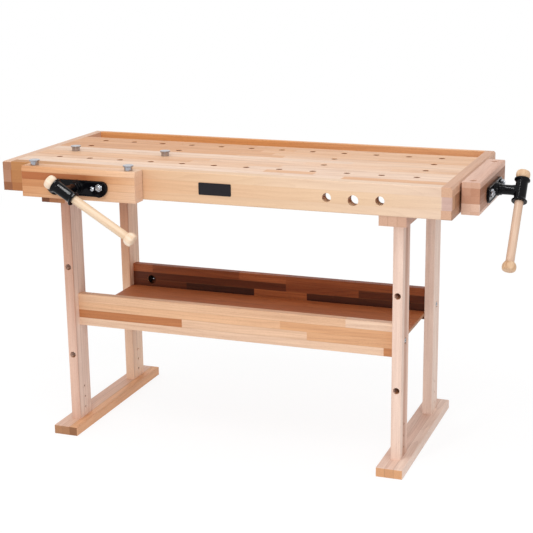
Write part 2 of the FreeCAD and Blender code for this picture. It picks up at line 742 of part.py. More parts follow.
def rod_washers(face):
    washers = []
    for u, z in rod_places():
        disc = vise_bar(STUD_WASHER, u, z, face + FACE_BASE, face + FACE_BASE + STUD_WASHER_THICK)
        washers.append(disc.cut(vise_bar(STUD_SIZE + FIT_CLEARANCE, u, z, face, face + STUD_REACH)))
    return Part.makeCompound(washers)


def rod_nuts(face):
    nuts = []
    for u, z in rod_places():
        seat = face + FACE_BASE + STUD_WASHER_THICK
        nut = hexagon(STUD_NUT_FLATS, Vector(seat, u, z), STUD_NUT_HEIGHT, AXIS_X)
        nuts.append(nut.cut(vise_bar(STUD_SIZE + FIT_CLEARANCE, u, z, face, seat + STUD_NUT_HEIGHT + CUT)))
    return Part.makeCompound(nuts)


def screw(face, direction):
    """The screw with its journal and nose, and the cross hub that the handle slides in."""
    hub = Vector(face + HUB_REACH, 0, 0)
    boss_end = face + FACE_BOSS_REACH
    journal_back = face - THRUST_GAP
    shape = vise_bar(SCREW_SIZE, 0, 0, -ROD_TAIL, journal_back)
    shape = shape.fuse(vise_bar(JOURNAL_SIZE - 2 * JOURNAL_RUNNING, 0, 0, journal_back,
                                boss_end + THRUST_GAP))
    shape = shape.fuse(vise_bar(NOSE_SIZE, 0, 0, boss_end + THRUST_GAP, hub.x))
    shape = shape.fuse(round_bar(HUB_SIZE, hub - direction * hub_half, HUB_LENGTH, direction))
    for way in (direction, -direction):
        end = hub + way * hub_half
        flange = Part.makeCylinder(HUB_FLANGE / 2, HUB_FLANGE_THICK, Vector(0, 0, 0))
        flange = flange.makeFillet(HUB_ROUND, [e for e in flange.Edges if e.Closed])
        flange.Placement = FreeCAD.Placement(end, FreeCAD.Rotation(AXIS_Z, way * -1))
        flare = Part.makeCone(HUB_FLANGE / 2 - HUB_ROUND, HUB_SIZE / 2, HUB_FLARE,
                              end - way * HUB_FLANGE_THICK, way * -1)
        shape = shape.fuse([flange, flare])
    bore = round_bar(HANDLE_SIZE + 2 * HANDLE_CLEARANCE, hub - direction * HUB_LENGTH,
                     2 * HUB_LENGTH, direction)
    return shape.cut(bore).removeSplitter()


def screw_collar(face):
    """The ring on the screw behind the plate, which makes the jaw follow the screw out."""
    front = face - THRUST_GAP
    ring = vise_bar(COLLAR_SIZE, 0, 0, front - COLLAR_THICK, front)
    return ring.cut(vise_bar(SCREW_SIZE, 0, 0, front - 2 * COLLAR_THICK, front + CUT))


def knob_base():
    """How far from the hub's middle the upper knob's flat face rests."""
    return hub_half + HANDLE_SEAT


def handle_bar(face, direction):
    """The turned bar, with a spigot at each end for its knob."""
    hub = Vector(face + HUB_REACH, 0, 0)
    body = HANDLE_SPAN - 2 * KNOB_LENGTH
    top = hub + direction * knob_base()
    bar = round_bar(HANDLE_SIZE, top, body, -direction)
    upper = round_bar(KNOB_SPIGOT, top, KNOB_SPIGOT_LENGTH, direction)
    lower = round_bar(KNOB_SPIGOT, top - direction * body, KNOB_SPIGOT_LENGTH, -direction)
    return bar.fuse([upper, lower])


def knob(base, direction):
    """A turned knob with a domed end, bored for the bar's spigot."""
    shape = Part.makeCylinder(KNOB_SIZE / 2, KNOB_LENGTH)
    shape = shape.makeFillet(KNOB_ROUND, [edge_at_height(shape, KNOB_LENGTH)])
    shape = shape.makeFillet(KNOB_NECK_ROUND, [edge_at_height(shape, 0)])
    shape = shape.cut(Part.makeCylinder(KNOB_SPIGOT / 2, KNOB_SPIGOT_LENGTH))
    shape.Placement = FreeCAD.Placement(base, FreeCAD.Rotation(AXIS_Z, direction))
    return shape


def handle_knobs(face, direction):
    hub = Vector(face + HUB_REACH, 0, 0)
    top = hub + direction * knob_base()
    bottom = top - direction * (HANDLE_SPAN - 2 * KNOB_LENGTH)
    return knob(top, direction), knob(bottom, -direction)


def vise_bracket(face_thick):
    """The cast bracket behind the face: a plate, the screw's nut and two sleeves for the rods."""
    back = -face_thick
    inner = back - BRACKET_PLATE
    half = BRACKET_LENGTH / 2
    shape = block(inner, back, -half, half, -BRACKET_BELOW, BRACKET_ABOVE)
    shape = shape.makeFillet(BRACKET_ROUND, edges_along(shape, AXIS_X))
    web = block(inner - NUT_LENGTH, inner, -rod_half, rod_half, WEB_BOTTOM, WEB_TOP)
    shape = shape.fuse([web, vise_bar(NUT_BOSS, 0, 0, inner - NUT_LENGTH, inner)])
    sleeves = [vise_bar(SLEEVE_SIZE, u, z, inner - SLEEVE_LENGTH, inner) for u, z in rod_places()]
    shape = shape.fuse(sleeves)
    shape = shape.cut(vise_bar(SCREW_SIZE + 2 * SCREW_RUNNING, 0, 0, inner - SLEEVE_LENGTH, back + CUT))
    for u, z in rod_places():
        rod_bore = vise_bar(ROD_SIZE + 2 * ROD_RUNNING, u, z, inner - SLEEVE_LENGTH - CUT, back + CUT)
        shape = shape.cut(rod_bore)
    for u, z in bracket_screw_places():
        shape = shape.cut(vise_bar(COACH_SIZE + 2 * BOLT_HOLE_CLEARANCE, u, z, inner - CUT, back + CUT))
    return shape.removeSplitter()


def bracket_screws(face_thick):
    inner = -face_thick - BRACKET_PLATE
    return Part.makeCompound([coach_screw(Vector(inner, u, z), BRACKET_PLATE + BRACKET_SCREW_GRIP, AXIS_X)
                              for u, z in bracket_screw_places()])


def vise(name, face_thick, gap, lip_depth, lip_drop, handle_angle, placement):
    """All the pieces of one vise, set in place on the bench."""
    face = gap + JAW_THICK
    angle = math.radians(handle_angle)
    direction = Vector(0, math.cos(angle), math.sin(angle))
    upper_knob, lower_knob = handle_knobs(face, direction)
    pieces = {
        "jaw": jaw(gap, lip_depth, lip_drop),
        "face_plate": face_plate(face),
        "face_bolts": face_bolts(face),
        "guide_rods": guide_rods(face),
        "rod_washers": rod_washers(face),
        "rod_nuts": rod_nuts(face),
        "screw": screw(face, direction),
        "screw_collar": screw_collar(face),
        "handle_bar": handle_bar(face, direction),
        "handle_upper_knob": upper_knob,
        "handle_lower_knob": lower_knob,
        "bracket": vise_bracket(face_thick),
        "bracket_screws": bracket_screws(face_thick),
    }
    for piece in pieces.values():
        piece.Placement = placement.multiply(piece.Placement)
    return {name + "_" + key: piece for key, piece in pieces.items()}


# ---------------------------------------------------------------- dogs

def bench_dog(x, y):
    """A round steel dog: a shank in the hole, a thicker body on the top and a flat cap."""
    foot = Vector(x, y, BENCH_HEIGHT - DOG_SHANK)
    shank = round_bar(DOG_HOLE - 2 * DOG_CLEARANCE, foot, DOG_SHANK, AXIS_Z)
    body = round_bar(DOG_BODY, Vector(x, y, BENCH_HEIGHT), DOG_BODY_HEIGHT, AXIS_Z)
    cap = Part.makeCylinder(DOG_CAP / 2, DOG_CAP_HEIGHT, Vector(x, y, BENCH_HEIGHT + DOG_BODY_HEIGHT))
    cap = cap.makeFillet(DOG_CAP_ROUND, [e for e in cap.Edges if e.Closed])
    return shank.fuse([body, cap])


# ---------------------------------------------------------------- assembly

front_vise_x = (dog_x(0) + dog_x(JAW_PITCHES)) / 2
tail_vise_y = (dog_y(0) + dog_y(JAW_PITCHES)) / 2
front_inner_face = stretcher_front_face(-leg_y) + STRETCHER_THICK
rear_inner_face = stretcher_front_face(leg_y)
shelf_bottom = SHELF_TOP - SHELF_THICK
ledger_mid_z = shelf_bottom - LEDGER_SIZE / 2

front_place = FreeCAD.Placement(Vector(front_vise_x, front_face, screw_height),
                                FreeCAD.Rotation(AXIS_Z, -90))
tail_place = FreeCAD.Placement(Vector(half_length, tail_vise_y, screw_height), FreeCAD.Rotation())

nodes = {
    "top_slab": top_slab(),
    "front_apron": front_apron(),
    "end_cap_left": mirrored(end_cap()),
    "end_cap_right": end_cap_right(),
    "rear_rail": rear_rail(),
    "tray_rail": tray_rail(),
    "tray_board": tray_panel(),
    "name_plate": name_plate(),
    "bearer_left": mirrored(bearer()),
    "bearer_right": bearer(),
    "foot_left": mirrored(foot()),
    "foot_right": foot(),
    "leg_front_left": mirrored(front_leg()),
    "leg_front_right": front_leg(),
    "leg_rear_left": mirrored(leg(leg_y)),
    "leg_rear_right": leg(leg_y),
    "front_stretcher": stretcher(-leg_y, front_inner_face, 1),
    "rear_stretcher": stretcher(leg_y, rear_inner_face, -1),
    "shelf": shelf(),
    "front_ledger": ledger(front_inner_face, 1),
    "rear_ledger": ledger(rear_inner_face, -1),
    "ledger_screws": Part.makeCompound([ledger_screws(front_inner_face, 1),
                                        ledger_screws(rear_inner_face, -1)]),
    "stretcher_bolts": stretcher_bolts(),
    "stretcher_washers": stretcher_washers(),
    "stretcher_nuts": stretcher_nuts(),
    "stretcher_saddles": stretcher_saddles(),
    "stretcher_dowels": stretcher_dowels(),
    "top_coach_screws": top_coach_screws(),
    "dog_top_left": bench_dog(dog_x(0), dog_y(1)),
    "dog_top_right": bench_dog(dog_x(JAW_PITCHES), dog_y(1)),
    "dog_jaw_left": bench_dog(dog_x(0), front_face - FRONT_JAW_GAP - JAW_THICK / 2),
    "dog_jaw_right": bench_dog(dog_x(JAW_PITCHES), front_face - FRONT_JAW_GAP - JAW_THICK / 2),
}
nodes.update(vise("front", APRON_THICK, FRONT_JAW_GAP, JAW_LIP_DEPTH, JAW_LIP_DROP,
                  FRONT_HANDLE_ANGLE, front_place))
nodes.update(vise("tail", CAP_THICK, TAIL_JAW_GAP, JAW_ARRIS, JAW_ARRIS, TAIL_HANDLE_ANGLE, tail_place))

os.makedirs("parts", exist_ok=True)
for name, shape in nodes.items():
    shape.exportStep("parts/" + name + ".step")
    box = shape.BoundBox
    print("%-26s solids %2d  X %8.1f %8.1f  Y %8.1f %8.1f  Z %7.1f %7.1f  %s" % (
        name, len(shape.Solids), box.XMin, box.XMax, box.YMin, box.YMax, box.ZMin, box.ZMax,
        "valid" if shape.isValid() else "NOT VALID"))
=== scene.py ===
import json
import math

import bpy
from mathutils import Matrix, Vector

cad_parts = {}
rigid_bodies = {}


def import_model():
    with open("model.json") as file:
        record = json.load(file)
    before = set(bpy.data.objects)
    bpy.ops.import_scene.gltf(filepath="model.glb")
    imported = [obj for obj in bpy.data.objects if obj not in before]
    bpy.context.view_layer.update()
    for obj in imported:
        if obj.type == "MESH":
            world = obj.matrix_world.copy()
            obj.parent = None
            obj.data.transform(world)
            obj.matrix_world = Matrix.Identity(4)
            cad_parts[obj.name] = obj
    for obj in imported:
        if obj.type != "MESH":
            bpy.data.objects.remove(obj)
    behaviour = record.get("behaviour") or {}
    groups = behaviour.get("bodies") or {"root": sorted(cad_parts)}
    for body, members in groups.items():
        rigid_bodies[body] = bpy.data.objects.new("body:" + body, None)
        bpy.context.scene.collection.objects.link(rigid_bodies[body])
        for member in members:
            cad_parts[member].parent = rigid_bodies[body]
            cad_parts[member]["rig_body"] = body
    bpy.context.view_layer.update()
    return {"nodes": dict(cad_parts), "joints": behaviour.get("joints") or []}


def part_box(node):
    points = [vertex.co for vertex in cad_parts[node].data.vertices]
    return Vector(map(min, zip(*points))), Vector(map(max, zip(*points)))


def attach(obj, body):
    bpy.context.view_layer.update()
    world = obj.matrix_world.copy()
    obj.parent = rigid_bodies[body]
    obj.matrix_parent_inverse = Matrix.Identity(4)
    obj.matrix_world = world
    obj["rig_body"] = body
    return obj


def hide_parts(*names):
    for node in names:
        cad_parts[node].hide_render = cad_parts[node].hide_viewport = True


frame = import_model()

nodes = frame["nodes"]


# ---------------------------------------------------------------- camera
# A long lens from the front right, a little above the top. It stands where the bench shows its
# front, its top and its right end, and its upright lines run very slightly together downwards.

CAMERA_PLACE = Vector((1.4927, -3.8438, 1.6339))
CAMERA_TURN = 19.357
CAMERA_TILT = 15.277
CAMERA_ROLL = -0.393
LENS = 88.47
SHIFT_RIGHT = -0.0539
SHIFT_UP = 0.0146

turn = math.radians(CAMERA_TURN)
tilt = math.radians(CAMERA_TILT)
roll = math.radians(CAMERA_ROLL)
ahead = Vector((-math.sin(turn) * math.cos(tilt), math.cos(turn) * math.cos(tilt), -math.sin(tilt)))
level = ahead.cross(Vector((0, 0, 1))).normalized()
upright = level.cross(ahead)
right = math.cos(roll) * level + math.sin(roll) * upright
up = math.cos(roll) * upright - math.sin(roll) * level
camera_data = bpy.data.cameras.new("camera")
camera_data.sensor_width = 36.0
camera_data.lens = LENS
camera_data.shift_x = SHIFT_RIGHT
camera_data.shift_y = SHIFT_UP
camera_data.clip_end = 200.0
camera = bpy.data.objects.new("camera", camera_data)
camera.matrix_world = Matrix.Translation(CAMERA_PLACE) @ Matrix((right, up, -ahead)).transposed().to_4x4()
bpy.context.scene.collection.objects.link(camera)
bpy.context.scene.camera = camera


# ---------------------------------------------------------------- studio
# A white paper floor under a softbox at the front right and a narrow one high above the bench's
# front, with the room's own light around them. The paper keeps a faint shadow and melts into a
# white backdrop.

FLOOR_SIZE = 60.0
FLOOR_COLOUR = (0.86, 0.86, 0.87, 1)
PAPER_GLOW = 0.80          # how much of the paper's white is plain backdrop under the bench
PAPER_WHITE = 1.07         # lifts the paper round the bench back to white
PAPER_FADE = (1.6, 4.0)    # from here to here the paper melts into the backdrop
ROOM_LIGHT = 0.84

scene = bpy.context.scene
scene.view_settings.view_transform = "Standard"


class Finish:
    """A material in the making. A call adds a node and returns what it gives."""

    def __init__(self, name, tree=None):
        if tree is None:
            self.material = bpy.data.materials.new(name)
            self.material.use_nodes = True
            tree = self.material.node_tree
        self.tree = tree
        self.shader = tree.nodes.get("Principled BSDF")

    def add(self, kind, inputs=(), **settings):
        node = self.tree.nodes.new("ShaderNode" + kind)
        for key, value in settings.items():
            setattr(node, key, value)
        for key, value in dict(inputs).items():
            self.put(node.inputs[key], value)
        return node

    def put(self, socket, value):
        if isinstance(value, bpy.types.NodeSocket):
            self.tree.links.new(value, socket)
        else:
            socket.default_value = value

    def math(self, operation, *values):
        return self.add("Math", enumerate(values), operation=operation).outputs[0]

    def fit(self, value, low, high, new_low=0.0, new_high=1.0):
        """The value with low..high stretched to new_low..new_high, and held at those ends."""
        inputs = {0: value, 1: low, 2: high, 3: new_low, 4: new_high}
        return self.add("MapRange", inputs).outputs[0]

    def ramp(self, value, stops, steps=False):
        node = self.add("ValToRGB", {0: value})
        bar = node.color_ramp
        bar.interpolation = "CONSTANT" if steps else "LINEAR"
        bar.elements[0].position, bar.elements[0].color = stops[0]
        bar.elements[1].position, bar.elements[1].color = stops[-1]
        for position, colour in stops[1:-1]:
            bar.elements.new(position).color = colour
        return node.outputs[0]

    def mix(self, share, first, second, blend="MIX"):
        inputs = {0: share, 6: first, 7: second}
        return self.add("Mix", inputs, data_type="RGBA", blend_type=blend).outputs[2]

    def noise(self, vector, scale=1.0, detail=2.0, roughness=0.5):
        inputs = {"Vector": vector, "Scale": scale, "Detail": detail, "Roughness": roughness}
        return self.add("TexNoise", inputs).outputs["Fac"]

    def bump(self, height, distance):
        inputs = {"Height": height, "Distance": distance, "Strength": 1.0}
        self.put(self.shader.inputs["Normal"], self.add("Bump", inputs).outputs[0])


def paint(code):
    """A colour written as red, green and blue pairs of digits, as the shaders want it."""
    shares = [int(code[i:i + 2], 16) / 255 for i in (0, 2, 4)]
    return tuple(((s + 0.055) / 1.055) ** 2.4 if s > 0.04045 else s / 12.92 for s in shares) + (1.0,)


def seen_by_eye(finish):
    """1 where the camera, or what it sees in gloss or glass, looks straight at the backdrop."""
    rays = finish.add("LightPath").outputs
    straight = finish.math("MAXIMUM", rays["Is Camera Ray"], rays["Is Glossy Ray"])
    return finish.math("MAXIMUM", straight, rays["Is Transmission Ray"])


bpy.ops.object.select_all(action="DESELECT")
bpy.ops.mesh.primitive_grid_add(x_subdivisions=12, y_subdivisions=12, size=FLOOR_SIZE)
floor = bpy.context.object
floor.name = "studio_floor"
paper = Finish("white_paper")
paper.put(paper.shader.inputs["Base Color"], FLOOR_COLOUR)
paper.put(paper.shader.inputs["Roughness"], 0.9)
paper.put(paper.shader.inputs["Specular IOR Level"], 0.1)
place = paper.add("TexCoord").outputs["Object"]
away = paper.add("VectorMath", {0: place}, operation="LENGTH").outputs["Value"]
glow = paper.fit(away, PAPER_FADE[0], PAPER_FADE[1], PAPER_GLOW, 1.0)
share = paper.math("MULTIPLY", glow, seen_by_eye(paper))
lift = paper.fit(away, PAPER_FADE[0], PAPER_FADE[1], PAPER_WHITE, 1.0)
white = paper.add("Emission", {"Color": (1, 1, 1, 1), "Strength": lift})
blend = paper.add("MixShader", {0: share, 1: paper.shader.outputs[0], 2: white.outputs[0]})
paper.put(paper.tree.nodes["Material Output"].inputs["Surface"], blend.outputs[0])
floor.data.materials.append(paper.material)

world = bpy.data.worlds.new("studio_room")
world.use_nodes = True
scene.world = world
room = Finish("", world.node_tree)
backdrop = room.tree.nodes["Background"]
backdrop.inputs["Color"].default_value = (1, 1, 1, 1)
room.put(backdrop.inputs["Strength"], room.fit(seen_by_eye(room), 0, 1, ROOM_LIGHT, 1.0))


def softbox(name, place, aim, width, height, power):
    """A softbox at a place, turned to the point that it is aimed at."""
    lamp = bpy.data.lights.new(name, "AREA")
    lamp.shape = "RECTANGLE"
    lamp.size = width
    lamp.size_y = height
    lamp.energy = power
    box = bpy.data.objects.new(name, lamp)
    box.location = place
    box.rotation_mode = "QUATERNION"
    box.rotation_quaternion = (Vector(aim) - Vector(place)).to_track_quat("-Z", "Y")
    scene.collection.objects.link(box)


softbox("front_softbox", (0.8, -4.1, 1.8), (0.1, 0, 0.45), 1.5, 1.5, 30)
softbox("overhead_softbox", (0.04, -1.39, 3.06), (0.40, -0.10, 0.9), 0.09, 2.1, 21)


# ---------------------------------------------------------------- slab
# The working surface is twelve beech staves glued side by side, 34 mm thick, with four rows of
# round dog holes bored through. It is sanded and oiled, and it is tongued into the end caps.

STAVE_ACROSS = 0.0387
GLUE_LINE = 0.0005         # how wide a glue line shows
GLUE = "8A5730"
RING = 0.0031              # from one year's ring to the next
LAYER_STEP = 23            # what a second layer of staves adds to the numbers of its rows
BEECH = [(0.0, "B4693C"), (0.2, "CC8A57"), (0.45, "E4AE80"), (0.7, "EEC39D"), (1.0, "F3D7BF")]
SHADE = "96603C"
END_GRAIN = ("AE7C5A", "D0A07C")
# the colour of the painted shade on the walls of bored holes
HOLE_SHADE_PAINT = "A98468"
AXES = "XYZ"


def random_from(finish, first, second, seed):
    """Three random numbers that are fixed by two whole numbers and a seed."""
    key = finish.add("CombineXYZ", {0: first, 1: second, 2: seed}).outputs[0]
    noise = finish.add("TexWhiteNoise", {"Vector": key}, noise_dimensions="3D")
    return finish.add("SeparateXYZ", {0: noise.outputs["Color"]}).outputs


def glued_beech(name, along, staves, tones=BEECH, low=0.45, high=1.0, marks=None, fade=False, figure=1.0,
                seams=0.55, shade=SHADE, ends=END_GRAIN, bored="", seed=0):
    """Beech glued up from staves. along is the way of the grain, and staves gives each way that
    they lie side by side as its axis, the first edge and the width. marks gives the tones of single
    rows along the grain, from stave to stave or fading, and the other rows' tones lie between low
    and high. ends are the end grain's colours in dark and in pale staves, and bored is the way of
    its holes, whose walls are darkened with painted shade."""
    wood = Finish(name)
    place = wood.add("TexCoord")
    coords = dict(zip(AXES, wood.add("SeparateXYZ", {0: place.outputs["Object"]}).outputs))
    run = coords[along]
    sides = [axis for axis in AXES if axis != along]
    row = seed
    seam = 1.0
    facing = wood.add("SeparateXYZ", {0: place.outputs["Normal"]}).outputs
    middles = {}
    for weight, (axis, edge, width) in zip((1, LAYER_STEP), staves):
        steps = wood.math("DIVIDE", wood.math("SUBTRACT", coords[axis], edge), width)
        index = wood.math("FLOOR", steps)
        inside = wood.math("SUBTRACT", steps, index)
        to_edge = wood.math("MULTIPLY", wood.math("PINGPONG", inside, 0.5), width)
        on_outside = wood.math("GREATER_THAN", wood.math("ABSOLUTE", facing[AXES.index(axis)]), 0.7)
        seam = wood.math("MINIMUM", seam, wood.math("ADD", to_edge, on_outside))
        row = wood.math("ADD", row, wood.math("MULTIPLY", index, weight))
        middles[axis] = wood.math("MULTIPLY", wood.math("SUBTRACT", inside, 0.5), width)
    tone = wood.fit(random_from(wood, row, 0.0, seed + 1)[0], 0, 1, low, high)
    for line, stretches in (marks or {}).items():
        start, reach = stretches[0][0], stretches[-1][0] - stretches[0][0]
        stops = [((begin - start) / reach, (value, value, value, 1)) for begin, value in stretches]
        told = wood.ramp(wood.fit(run, start, start + reach), stops, steps=not fade)
        here = wood.math("COMPARE", row, line + seed, 0.5)
        tone = wood.add("Mix", {0: here, 2: tone, 3: told}, data_type="FLOAT").outputs[0]
    own = random_from(wood, row, 0.0 if fade else wood.math("MULTIPLY", tone, 37.0), seed + 2)

    def from_heart(axis, chance, reach):
        offset = wood.fit(chance, 0, 1, -reach, reach)
        return wood.math("ADD", middles.get(axis, coords[axis]), offset)

    def stretched(lengthwise, crosswise):
        """Coordinates that draw a pattern out along the grain."""
        scaled = [wood.math("MULTIPLY", v, k) for v, k in
                  ((shifted, lengthwise), (first, crosswise), (second, crosswise))]
        return wood.add("CombineXYZ", enumerate(scaled)).outputs[0]

    first = from_heart(sides[0], own[0], 0.07)
    second = wood.math("ADD", from_heart(sides[1], own[1], 0.03), 0.06)
    shifted = wood.math("ADD", run, wood.math("MULTIPLY", own[2], 11.0))
    wander = wood.fit(wood.noise(stretched(1.3, 7)), 0.2, 0.8, -0.011, 0.011)
    squares = wood.math("ADD", wood.math("POWER", first, 2.0), wood.math("POWER", second, 2.0))
    heart = wood.math("ADD", wood.math("SQRT", squares), wander)
    late = wood.math("POWER", wood.math("FRACT", wood.math("DIVIDE", heart, RING)), 3.0)
    streaks = wood.fit(wood.noise(stretched(2.2, 62), 1.0, 3.0, 0.6), 0.28, 0.72)
    fibres = wood.fit(wood.noise(stretched(13, 370), 1.0, 3.0, 0.65), 0.3, 0.7)
    flecks = wood.fit(wood.noise(stretched(260, 1500), 1.0, 1.0), 0.60, 0.72)
    base = wood.ramp(tone, [(position, paint(code)) for position, code in tones])
    depth = wood.math("MULTIPLY", late, 0.15 * figure)
    depth = wood.math("MULTIPLY_ADD", streaks, 0.30 * figure, depth)
    depth = wood.math("MULTIPLY_ADD", fibres, 0.14 * figure, depth)
    depth = wood.math("MULTIPLY_ADD", flecks, 0.30 * figure, depth)
    deep = wood.mix(1.0, base, paint(shade), "MULTIPLY")
    face = wood.mix(depth, base, deep)

    end = wood.fit(wood.math("ABSOLUTE", facing[AXES.index(along)]), 0.80, 0.92)
    pores = wood.fit(wood.noise(place.outputs["Object"], 900.0, 2.0), 0.35, 0.65)
    cut = wood.mix(tone, paint(ends[0]), paint(ends[1]))
    cut_depth = wood.math("MULTIPLY_ADD", late, 0.30, wood.math("MULTIPLY", pores, 0.25))
    cut = wood.mix(cut_depth, cut, wood.mix(1.0, cut, paint(shade), "MULTIPLY"))
    colour = wood.mix(end, face, cut)
    # Painted shade: faces that lie along the holes' way, the hole walls, are darkened as if in shade.
    if bored:
        painted_hole_shade = wood.fit(wood.math("ABSOLUTE", facing[AXES.index(bored)]), 0.35, 0.25)
        colour = wood.mix(painted_hole_shade, colour, wood.mix(1.0, colour, paint(HOLE_SHADE_PAINT), "MULTIPLY"))
    glue = wood.fit(seam, GLUE_LINE * 0.4, GLUE_LINE * 1.6, seams, 0.0)
    colour = wood.mix(glue, colour, paint(GLUE))
    wood.put(wood.shader.inputs["Base Color"], colour)
    wood.put(wood.shader.inputs["Roughness"], wood.fit(fibres, 0, 1, 0.44, 0.58))
    wood.put(wood.shader.inputs["Specular IOR Level"], 0.35)
    relief = wood.math("ADD", wood.math("MULTIPLY", fibres, -0.4), wood.math("MULTIPLY", glue, -1.0))
    relief = wood.math("MULTIPLY_ADD", pores, wood.math("MULTIPLY", end, -0.8), relief)
    wood.bump(relief, 0.00025)
    return wood.material


def dress(material, *names):
    """Gives CAD pieces their finish."""
    for name in names:
        finish = nodes[name].data.materials
        finish.clear()
        finish.append(material)


def edge(name, axis):
    """Where a CAD piece's first stave begins along an axis, a hair outside its lowest place."""
    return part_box(name)[0][AXES.index(axis)] - 0.0002


def butted(rows, name):
    """Marks for a CAD piece's rows of staves that butt end to end: a row's first tone, and then
    where each next stave begins, with its tone."""
    low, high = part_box(name)
    marks = {}
    for line, (first, *later) in rows.items():
        marks[line] = [(low.x, first), *later]
        marks[line].append((high.x, marks[line][-1][1]))
    return marks


SLAB_TONES = BEECH[:-1] + [(1.0, "F5DDC9")]
SLAB_ROWS = {
    0: (0.95, (0.38, 0.54)),
    1: (0.88, (0.12, 0.58), (0.28, 0.90)),
    2: (0.76, (0.05, 0.92)),
    3: (0.60, (-0.15, 0.74), (0.15, 0.88)),
    4: (0.66, (-0.10, 0.80), (0.48, 0.72)),
    5: (0.84, (0.20, 0.78)),
    6: (0.92, (0.34, 0.84)),
    7: (0.44, (-0.05, 0.56), (0.10, 0.78)),
    8: (0.40, (-0.25, 0.48), (0.05, 0.70), (0.40, 0.60)),
    9: (0.45, (0.00, 0.60), (0.30, 0.70)),
    10: (0.40, (-0.30, 0.50), (0.10, 0.64)),
    11: (0.42, (-0.05, 0.56), (0.25, 0.66)),
}

slab_staves = [("Y", edge("top_slab", "Y"), STAVE_ACROSS)]
dress(glued_beech("slab_beech", "X", slab_staves, tones=SLAB_TONES, marks=butted(SLAB_ROWS, "top_slab"),
                  figure=0.8, seams=0.4, bored="Z", seed=3), "top_slab")


# ---------------------------------------------------------------- apron
# The front apron is one thick beam of straight, pale beech, box-jointed through both end caps.
# Its three round holes at the right take a vise that is moved along the bench.

FINGER = 0.039             # the middle finger of the box joint, which sets the rows of staves
FINGER_SHOULDER = 0.027    # from the apron's lower edge up to that finger
CAP = 0.032                # how thick the end caps are
MAUVE_BEECH = "CDACA0"
APRON_TONES = [(0.0, "B5856A"), (0.03, "AD6E40"), (0.3, "C68F59"), (0.5, "E0B086"), (0.8, "E5C4A2"),
               (0.9, "E7CBB2"), (1.0, MAUVE_BEECH)]

finger_edge = edge("front_apron", "Z") + FINGER_SHOULDER - FINGER
cap_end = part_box("front_apron")[1].x
to_cap = cap_end - CAP
# The apron darkens towards its left end: partly its wood, partly painted shade for the front jaw's shadow and
# the weaker light at that end.
apron_marks = {
    0: [(-cap_end, 0.05), (-0.60, 0.09), (-0.30, 0.62), (0.20, 0.80), (cap_end, 0.90)],
    1: [(-cap_end, 0.0), (-to_cap - 0.001, 0.0), (-to_cap, 0.16), (-0.60, 0.22), (-0.30, 0.56),
        (0.20, 0.74), (to_cap, 0.86), (to_cap + 0.001, 1.0), (cap_end, 1.0)],
    2: [(-cap_end, 0.22), (-0.60, 0.25), (-0.30, 0.62), (0.20, 0.84), (cap_end, 0.92)],
}
dress(glued_beech("apron_beech", "X", [("Z", finger_edge, FINGER)], tones=APRON_TONES, marks=apron_marks,
                  fade=True, figure=0.45, seams=0.06, seed=11), "front_apron")


# ---------------------------------------------------------------- end caps
# The end caps close the top at the left and the right. Each is glued up from three staves, and
# the staves' ends show in the box joints with the apron and the rear rail.

CAP_TONES = [(0.0, "A06C48"), (0.3, "C0967A"), (0.6, "D8AB8D"), (1.0, "F0CEB2")]
# The left cap's dark lower stave and dark end grain are partly its wood and partly painted shade of the dim
# left end. The right cap's upper stave is painted paler for the sheen on its top face, and its lower staves
# are darker, partly darker wood and partly painted shade on its right side.
CAPS = {"left": (21, (0.05, 0.5, 0.85), ("9A6240", "B88768")),
        "right": (25, (0.24, 0.08, 0.64), ("DCB296", "DCB292"))}


def stave_marks(tones):
    """One tone for each of a few staves that run through."""
    return {line: [(0.0, tone), (1.0, tone)] for line, tone in enumerate(tones)}


for side, (seed, staves, ends) in CAPS.items():
    dress(glued_beech(side + "_cap_beech", "Y", [("Z", finger_edge, FINGER)], tones=CAP_TONES,
                      marks=stave_marks(staves), figure=0.8, seams=0.3, ends=ends, seed=seed),
          "end_cap_" + side)


# ---------------------------------------------------------------- rear rail and tool tray
# The rear rail stands up to the height of the top and closes the tray at the back. The tray's
# board is thin and grooved in on all four sides, and a rail under the slab closes its front.

RAIL_TONES = [(0.0, "C98550"), (0.5, "EDA968"), (1.0, "F6CBA4")]
TRAY_STAVE = 0.053

rear_rail_marks = {1: [(-cap_end, 0.50), (-0.20, 0.40), (0.30, 0.60), (cap_end, 0.70)],
                   2: [(-cap_end, 0.54), (-0.20, 0.46), (0.30, 0.64), (cap_end, 0.72)]}
dress(glued_beech("rear_rail_beech", "X", [("Z", finger_edge, FINGER)], tones=RAIL_TONES, low=0.4, high=0.6,
                  marks=rear_rail_marks, fade=True, figure=0.8, seams=0.2, seed=31), "rear_rail", "tray_rail")
tray_staves = [("Y", edge("tray_board", "Y"), TRAY_STAVE)]
dress(glued_beech("tray_beech", "X", tray_staves, low=0.45, high=0.7, seed=33), "tray_board")


# ---------------------------------------------------------------- name plate
# A bare plate of black enamelled steel with round corners and a fine raised border. It stands
# proud of the apron and is held by adhesive.

PLATE_CORNER = 0.003
PLATE_BORDER = 0.0012
PLATE_DISH = 0.0003        # how far the middle lies below the border


def take(piece):
    """Selects one piece alone."""
    bpy.ops.object.select_all(action="DESELECT")
    piece.select_set(True)
    bpy.context.view_layer.objects.active = piece


def edit(piece):
    """Opens a piece for editing, with all of it selected."""
    take(piece)
    bpy.ops.object.mode_set(mode="EDIT")
    bpy.ops.mesh.select_all(action="SELECT")


def close(piece, smooth=30):
    """Ends the editing: no doubles, faces outwards, and smooth shading but for real edges."""
    bpy.ops.mesh.select_all(action="SELECT")
    bpy.ops.mesh.remove_doubles(threshold=2e-6)
    bpy.ops.mesh.normals_make_consistent(inside=False)
    bpy.ops.object.mode_set(mode="OBJECT")
    bpy.ops.object.shade_smooth_by_angle(angle=math.radians(smooth))
    return piece


